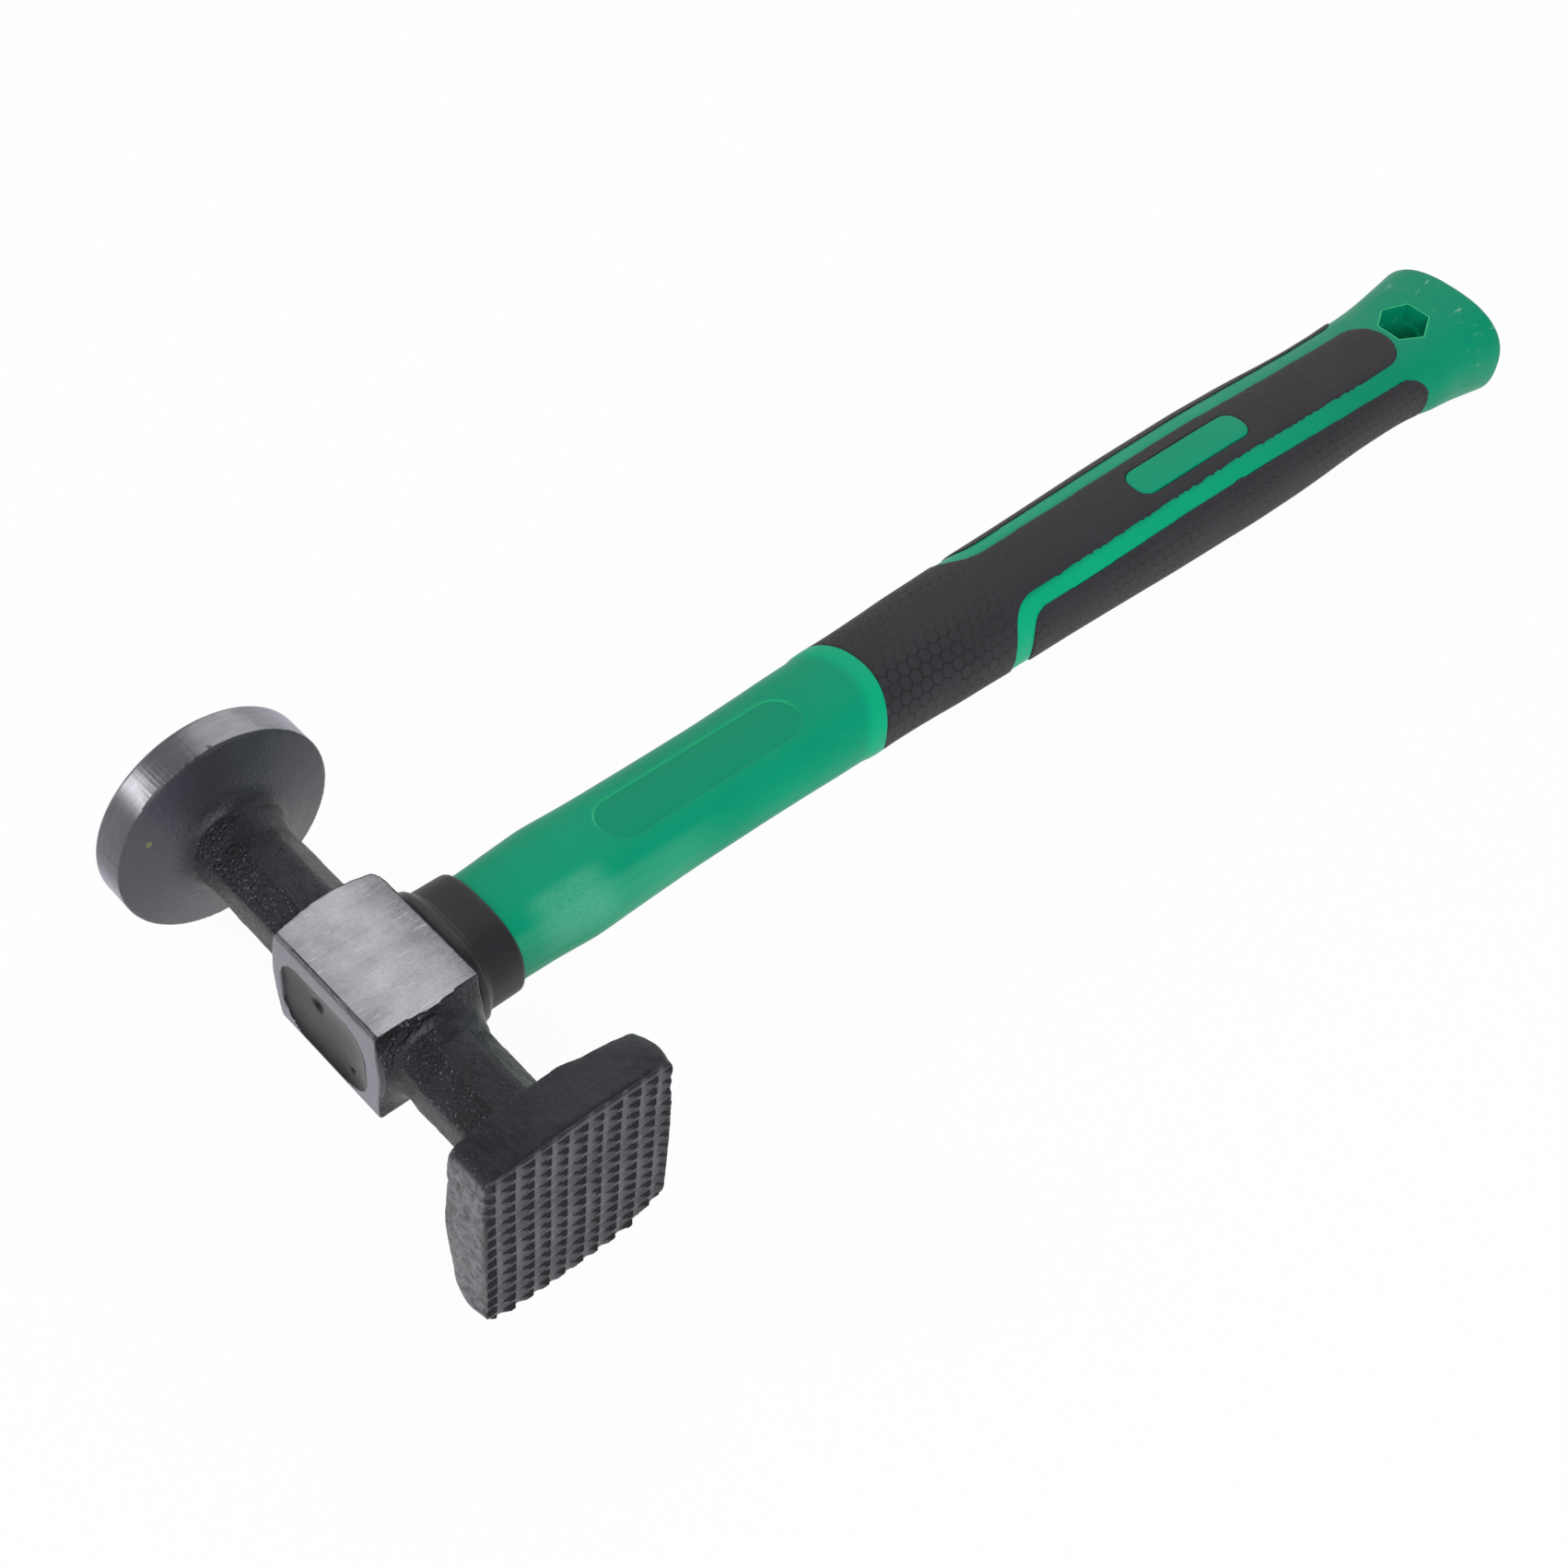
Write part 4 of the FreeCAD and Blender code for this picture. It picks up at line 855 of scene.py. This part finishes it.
# The green moulding gets its beds, the bore of the rod, the hanging hole and the oval mark.
BUTT = [(309.5, -0.12), (309.95, -0.4), (310.3, -0.85), (310.5, -1.5), (310.58, -3.0), (310.6, -6.0)]
ROD_HALF_WIDTH, ROD_HALF_HEIGHT, ROD_CORNER = 8.5, 5.8, 5
HOLE_AT, MOUTH_RADIUS, MOUTH_FLOOR, BORE_RADIUS = 292.7, 6.1, 6.4, 4.3
MARK_MIDDLE, MARK_HALF_WIDTH = 74.3, 5.3
body = ringed_solid("green_handle", handle_outline, handle_stations(12, BODY_LENGTH, 0)
                    + [(x, WIDTHS[-1][1] + g, HEIGHTS[-1][1] + g, SIDEWAYS[-1][1], 0) for x, g in BUTT])
for room in rooms.values():
    cut(body, "DIFFERENCE", room, keep=True)
rod_section = upright_rectangle(ROD_HALF_WIDTH, ROD_HALF_HEIGHT, ROD_CORNER, 8)
rod_outline = [(y / ROD_HALF_WIDTH, z / ROD_HALF_HEIGHT) for y, z in rod_section]
cut(body, "DIFFERENCE", ringed_solid("bore_of_rod", rod_outline,
                                     [(x, ROD_HALF_WIDTH, ROD_HALF_HEIGHT, 0, 0) for x in (5, 264)]))
hexagon = ring(HOLE_AT, MOUTH_RADIUS, np.arange(30, 390, 60))
cut(body, "DIFFERENCE", prism("upper_mouth", hexagon, low=MOUTH_FLOOR))
cut(body, "DIFFERENCE", prism("lower_mouth", hexagon, high=-MOUTH_FLOOR))
cut(body, "DIFFERENCE", prism("hanging_bore", ring(HOLE_AT, BORE_RADIUS, np.arange(0, 360, 6))))

# The mark is a shallow and slightly wider pocket, and a deeper one in it. Both follow the surface.
mark_plan = oblong(49.8, 98.8, MARK_HALF_WIDTH, 5.2, 14)
for wider, depth in ((0.22, 0.13), (0, 0.34)):
    outline = [(x + wider * np.sign(x - MARK_MIDDLE), y + wider * np.sign(y)) for x, y in mark_plan]
    pocket = prism("mark_pocket", outline)
    cut(pocket, "DIFFERENCE", ringed_solid("mark_floor", handle_outline, handle_stations(40, 110, -depth)))
    cut(body, "DIFFERENCE", pocket)


def skin_level(side, lift, width, height):
    """1 on an oval with this half width and half height, less inside it and more outside."""
    return (np.abs(side / width) ** OVAL_POWER + np.abs(lift / height) ** OVAL_POWER) ** (1 / OVAL_POWER)


def snap_to_skin(piece, plan, grow):
    """Puts the outer vertices on the handle's exact surface, away from the plan's edges."""
    co = points_of(piece)
    width, height = eased(WIDTHS, co[:, 0]) + grow, eased(HEIGHTS, co[:, 0]) + grow
    sideways = eased(SIDEWAYS, co[:, 0])
    co[:, 1] -= sideways
    level = skin_level(co[:, 1], co[:, 2], width, height)
    inside = nearest_on(plan, np.column_stack([co[:, 0], co[:, 1] + sideways]), closed=True)[1]
    share = (np.abs(level - 1) * height < 0.3) * ramp(inside, 0.35, 0.9)
    co[:, 1:] *= (1 + (1 / np.maximum(level, 1e-6) - 1) * share)[:, None]
    co[:, 1] += sideways
    move_points(piece, co)
    return co


def soft_edged(piece, plan, voxel, grow):
    """Remeshes a sharp solid evenly, rounds its edges, and puts its outer side back on the skin."""
    modify(piece, "REMESH", mode="VOXEL", voxel_size=voxel)
    modify(piece, "SMOOTH", factor=0.5, iterations=4)
    co = snap_to_skin(piece, plan, grow)
    pick(piece)
    bpy.ops.object.shade_smooth()
    return co


# The last few millimetres before the bow rise to the level of the rubber.
co = points_of(body)
width, height, sideways = (eased(table, co[:, 0]) for table in (WIDTHS, HEIGHTS, SIDEWAYS))
level = skin_level(co[:, 1] - sideways, co[:, 2], width, height)
before_bow = BOW_RADIUS - np.hypot(co[:, 0] - BOW_AT, co[:, 1])
on_surface = (before_bow > -0.05) & (np.abs(level - 1) * height < 0.05) & (co[:, 0] > 90)
lift = 0.3 * ramp(before_bow, 4.2, 2.4) * on_surface
co[:, 1] += (co[:, 1] - sideways) * lift / width
co[:, 2] *= 1 + lift / height
move_points(body, co)

BADGE_RISE = 0.38
badge = ringed_solid("badge_pads", handle_outline, handle_stations(190, 240, BADGE_RISE, 2.0))
cut(badge, "INTERSECT", prism("badge_plan", badge_plan))
cut(badge, "DIFFERENCE", ringed_solid("badge_foot", handle_outline, handle_stations(185, 245, -2.2, 2.5)))
soft_edged(badge, badge_plan, 0.25, BADGE_RISE)
pick(body)
bpy.ops.object.shade_smooth_by_angle(angle=math.radians(28))
badge.select_set(True)
bpy.ops.object.join()
into_part_frame(body)

# The finish reads places in the part's frame: the mark's middle, the centre of the bow, the hole, and
# the handle's middle line, which is at the eye's Y.
MARK_X, BOW_X, HOLE_X, HALF_OVER_FLATS = -69.65, -50.15, 148.75, 5.283
green = Finish("green_moulded_plastic", IOR=1.48, Specular_IOR_Level=0.12)
along, across, up = green.axis("X"), green.axis("Y"), green.axis("Z")
off_middle = across - MIDDLE_OF_EYE.y

# Handling left smudges and hairlines, the frosted patch on the shoulder is paler as a painted highlight,
# the near side has a pale streaked band that is a painted reflection, and the butt is scuffed.
smudge = green.noise(2.2, 4, 0.7).step(0.6, 0.76)
hair = green.noise(1, 3, 0.65, green.stretched(0.1, 3.0, 3.0)).step(0.69, 0.76)
hair = hair.larger(green.noise(1, 3, 0.65, green.stretched(1.9, 0.16, 1.9)).step(0.71, 0.78))
frosted_highlight = along.step(-119, -112) * along.step(-97, -104) * across.step(-5, -8) * up.step(22, 26)
frosted_highlight = frosted_highlight * (green.noise(0.5, 2).step(0.3, 0.7) * 0.5 + 0.5)
# Painted reflection: a pale band streaked along the handle on its near side.
painted_side_sheen = across.step(-9.6, -11.4) * (green.noise(1, 3, 0.6, green.stretched(0.05, 0.9, 0.9)) * 0.9 + 0.2)
scuffs = along.step(148, 158) * green.noise(1, 5, 0.75, green.stretched(0.2, 0.75, 0.75)).step(0.6, 0.7)

# The mark is a little darker, and its edge has a painted highlight. The border of the bow and the stripes
# get a painted highlight, stronger on the near side, and the six-sided mouth has a painted highlight on its
# edge.
past_end = (abs(along - MARK_X) - 19.3).larger(0)
beyond_mark = (past_end.squared() + off_middle.squared()) ** 0.5 - MARK_HALF_WIDTH
mark_edge_highlight = abs(beyond_mark).step(0.42, 0.05) * up.step(26, 28) * (across.step(-4, 3) * 0.5 + 0.25)
from_bow = ((along - BOW_X).squared() + off_middle.squared()) ** 0.5
stripes = abs(off_middle).step(7.3, 8.6) * along.step(-34, -28) * along.step(132, 20)
stripes = stripes * (across.step(4, -4) * 0.5 + 0.5)
painted_highlight_bands = (from_bow.step(17.5, 20.5) * from_bow.step(24.5, 23.5) * along.step(-46, -40)).larger(stripes)
off_hole = along - HOLE_X
half_along, most_across = off_hole * 0.5, off_middle * 0.866
flats = abs(off_hole).larger(abs(half_along + most_across)).larger(abs(half_along - most_across))
beyond_flats = flats - HALF_OVER_FLATS

green_colour = green.layered(
    green.colour(green.noise(18, 3), srgb(0, 142, 105), srgb(0, 157, 118)),
    (smudge * 0.35, srgb(34, 112, 92)),
    (hair * 0.3, srgb(120, 196, 172)),
    (frosted_highlight * 0.28, srgb(130, 205, 180)),
    (painted_side_sheen * along.step(-70, -86) * 0.2, srgb(120, 205, 170)),
    (beyond_mark.step(0.3, -0.5) * up.step(26, 28) * 0.4, srgb(0, 134, 100)),
    (painted_highlight_bands * 0.55, srgb(4, 184, 134)),
    # Painted shade: the half towards the butt is darker.
    (along.step(80, 130) * 0.5, srgb(4, 134, 101)),
    (mark_edge_highlight * 0.75, srgb(70, 212, 155)),
    (scuffs * 0.55, srgb(150, 205, 186)),
    # Painted highlight on the edge of the six-sided mouth.
    (beyond_flats.step(0.0, 0.05) * beyond_flats.step(0.34, 0.18) * 0.6, srgb(84, 224, 140)))

# The mould's halves left a seam along the sides.
seam = abs(up - 22.2).step(0.45, 0.1) * abs(off_middle).step(9, 11)
relief = green.noise(0.8, 2) * frosted_highlight * 0.3 + seam * 0.8 - hair * 0.2
green.set(Base_Color=green_colour, Roughness=0.33 + green.noise(6, 3) * 0.14 + hair * 0.2 + frosted_highlight * 0.2,
          Normal=green.bump(relief, 0.12, green.bump(green.noise(9, 2), 0.12)))
body.data.materials.append(green.material)
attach(body, "root")
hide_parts("handle_body")

# Soft grip: black rubber, moulded over the green body. One sleeve goes all round behind the bow of
# the green front and has a tongue on the top and bottom, and a separate panel lies on each side.

RUBBER_RISE = 0.3
rubber = Finish("black_grip_rubber", IOR=1.5, Specular_Tint=(0.94, 0.94, 1.0, 1))
along, wrap = rubber.axis("X"), rubber.remembered("wrap")

# Embossed six-sided cells: of two grids of their middles, each place takes the nearer one.
CELL, ROOT3 = 2.9, math.sqrt(3)
u, v = (along + 400) / CELL, (wrap + 100) / CELL
offsets = []
for shift_u, shift_v in ((0, 0), (0.5, ROOT3 / 2)):
    offsets.append(((u + shift_u).math("MODULO", u + shift_u, 1.0) - 0.5,
                    (v + shift_v).math("MODULO", v + shift_v, ROOT3) - ROOT3 / 2))
(au, av), (bu, bv) = offsets
to_a, to_b = au.squared() + av.squared(), bu.squared() + bv.squared()
pick_a = to_a.math("LESS_THAN", to_a, to_b)
gu, gv = abs(au * pick_a + bu * (1 - pick_a)), abs(av * pick_a + bv * (1 - pick_a))
to_edge = 0.5 - gu.larger(gu * 0.5 + gv * (ROOT3 / 2))
groove = to_edge.step(0.09, 0.02)
front_part = along.step(16.0, -2.0) * (abs(wrap).step(2, 7) * 0.75 + 0.25)
side_part = abs(wrap).step(9.0, 12.0) * 0.7
emboss = front_part.larger(side_part).larger(0.18) * (rubber.noise(12, 2).step(0.36, 0.56) * 0.5 + 0.5)
fine = rubber.noise(0.35, 3, 0.6)
dust = rubber.noise(1.3, 4, 0.7).step(0.66, 0.78)
# The grooves between the cells get painted shade.
rubber_colour = rubber.layered(rubber.colour(rubber.noise(10, 3), srgb(27, 27, 31), srgb(39, 39, 43)),
                               (groove * emboss * 0.9, srgb(12, 12, 13)), (dust * 0.25, srgb(90, 90, 94)))
rubber.set(Base_Color=rubber_colour, Roughness=0.6 + fine * 0.12,
           Normal=rubber.bump(fine, 0.03, rubber.bump(1 - groove * emboss, 0.3)))

# The cells follow the length round the handle from the middle of its top, in units of its half width.
half_turn = np.array(oval_outline(2000))
upper = half_turn[half_turn[:, 1] >= 0]
upper = upper[np.argsort(upper[:, 0])]
wrap_steps = np.hypot(np.diff(upper[:, 0]), np.diff(upper[:, 1]) * OVAL_FLATNESS)
wrap_length = np.concatenate([[0], np.cumsum(wrap_steps)])
wrap_length -= np.interp(0, upper[:, 0], wrap_length)
for name, piece_name, node, voxel in (("sleeve", "grip_sleeve_skin", "grip_sleeve", 0.42),
                                      ("near", "side_panel_near", "grip_side_panel_near", 0.36),
                                      ("far", "side_panel_far", "grip_side_panel_far", 0.36)):
    piece = ringed_solid(piece_name, handle_outline, handle_stations(98, 300, RUBBER_RISE))
    cut(piece, "INTERSECT", rooms[name])
    co = soft_edged(piece, plans[name], voxel, RUBBER_RISE)
    width = eased(WIDTHS, co[:, 0]) + RUBBER_RISE
    side = (co[:, 1] - eased(SIDEWAYS, co[:, 0])) / width
    remember(piece, "wrap", np.interp(side, upper[:, 0], wrap_length) * width)
    into_part_frame(piece)
    piece.data.materials.append(rubber.material)
    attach(piece, "root")
    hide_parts(node)
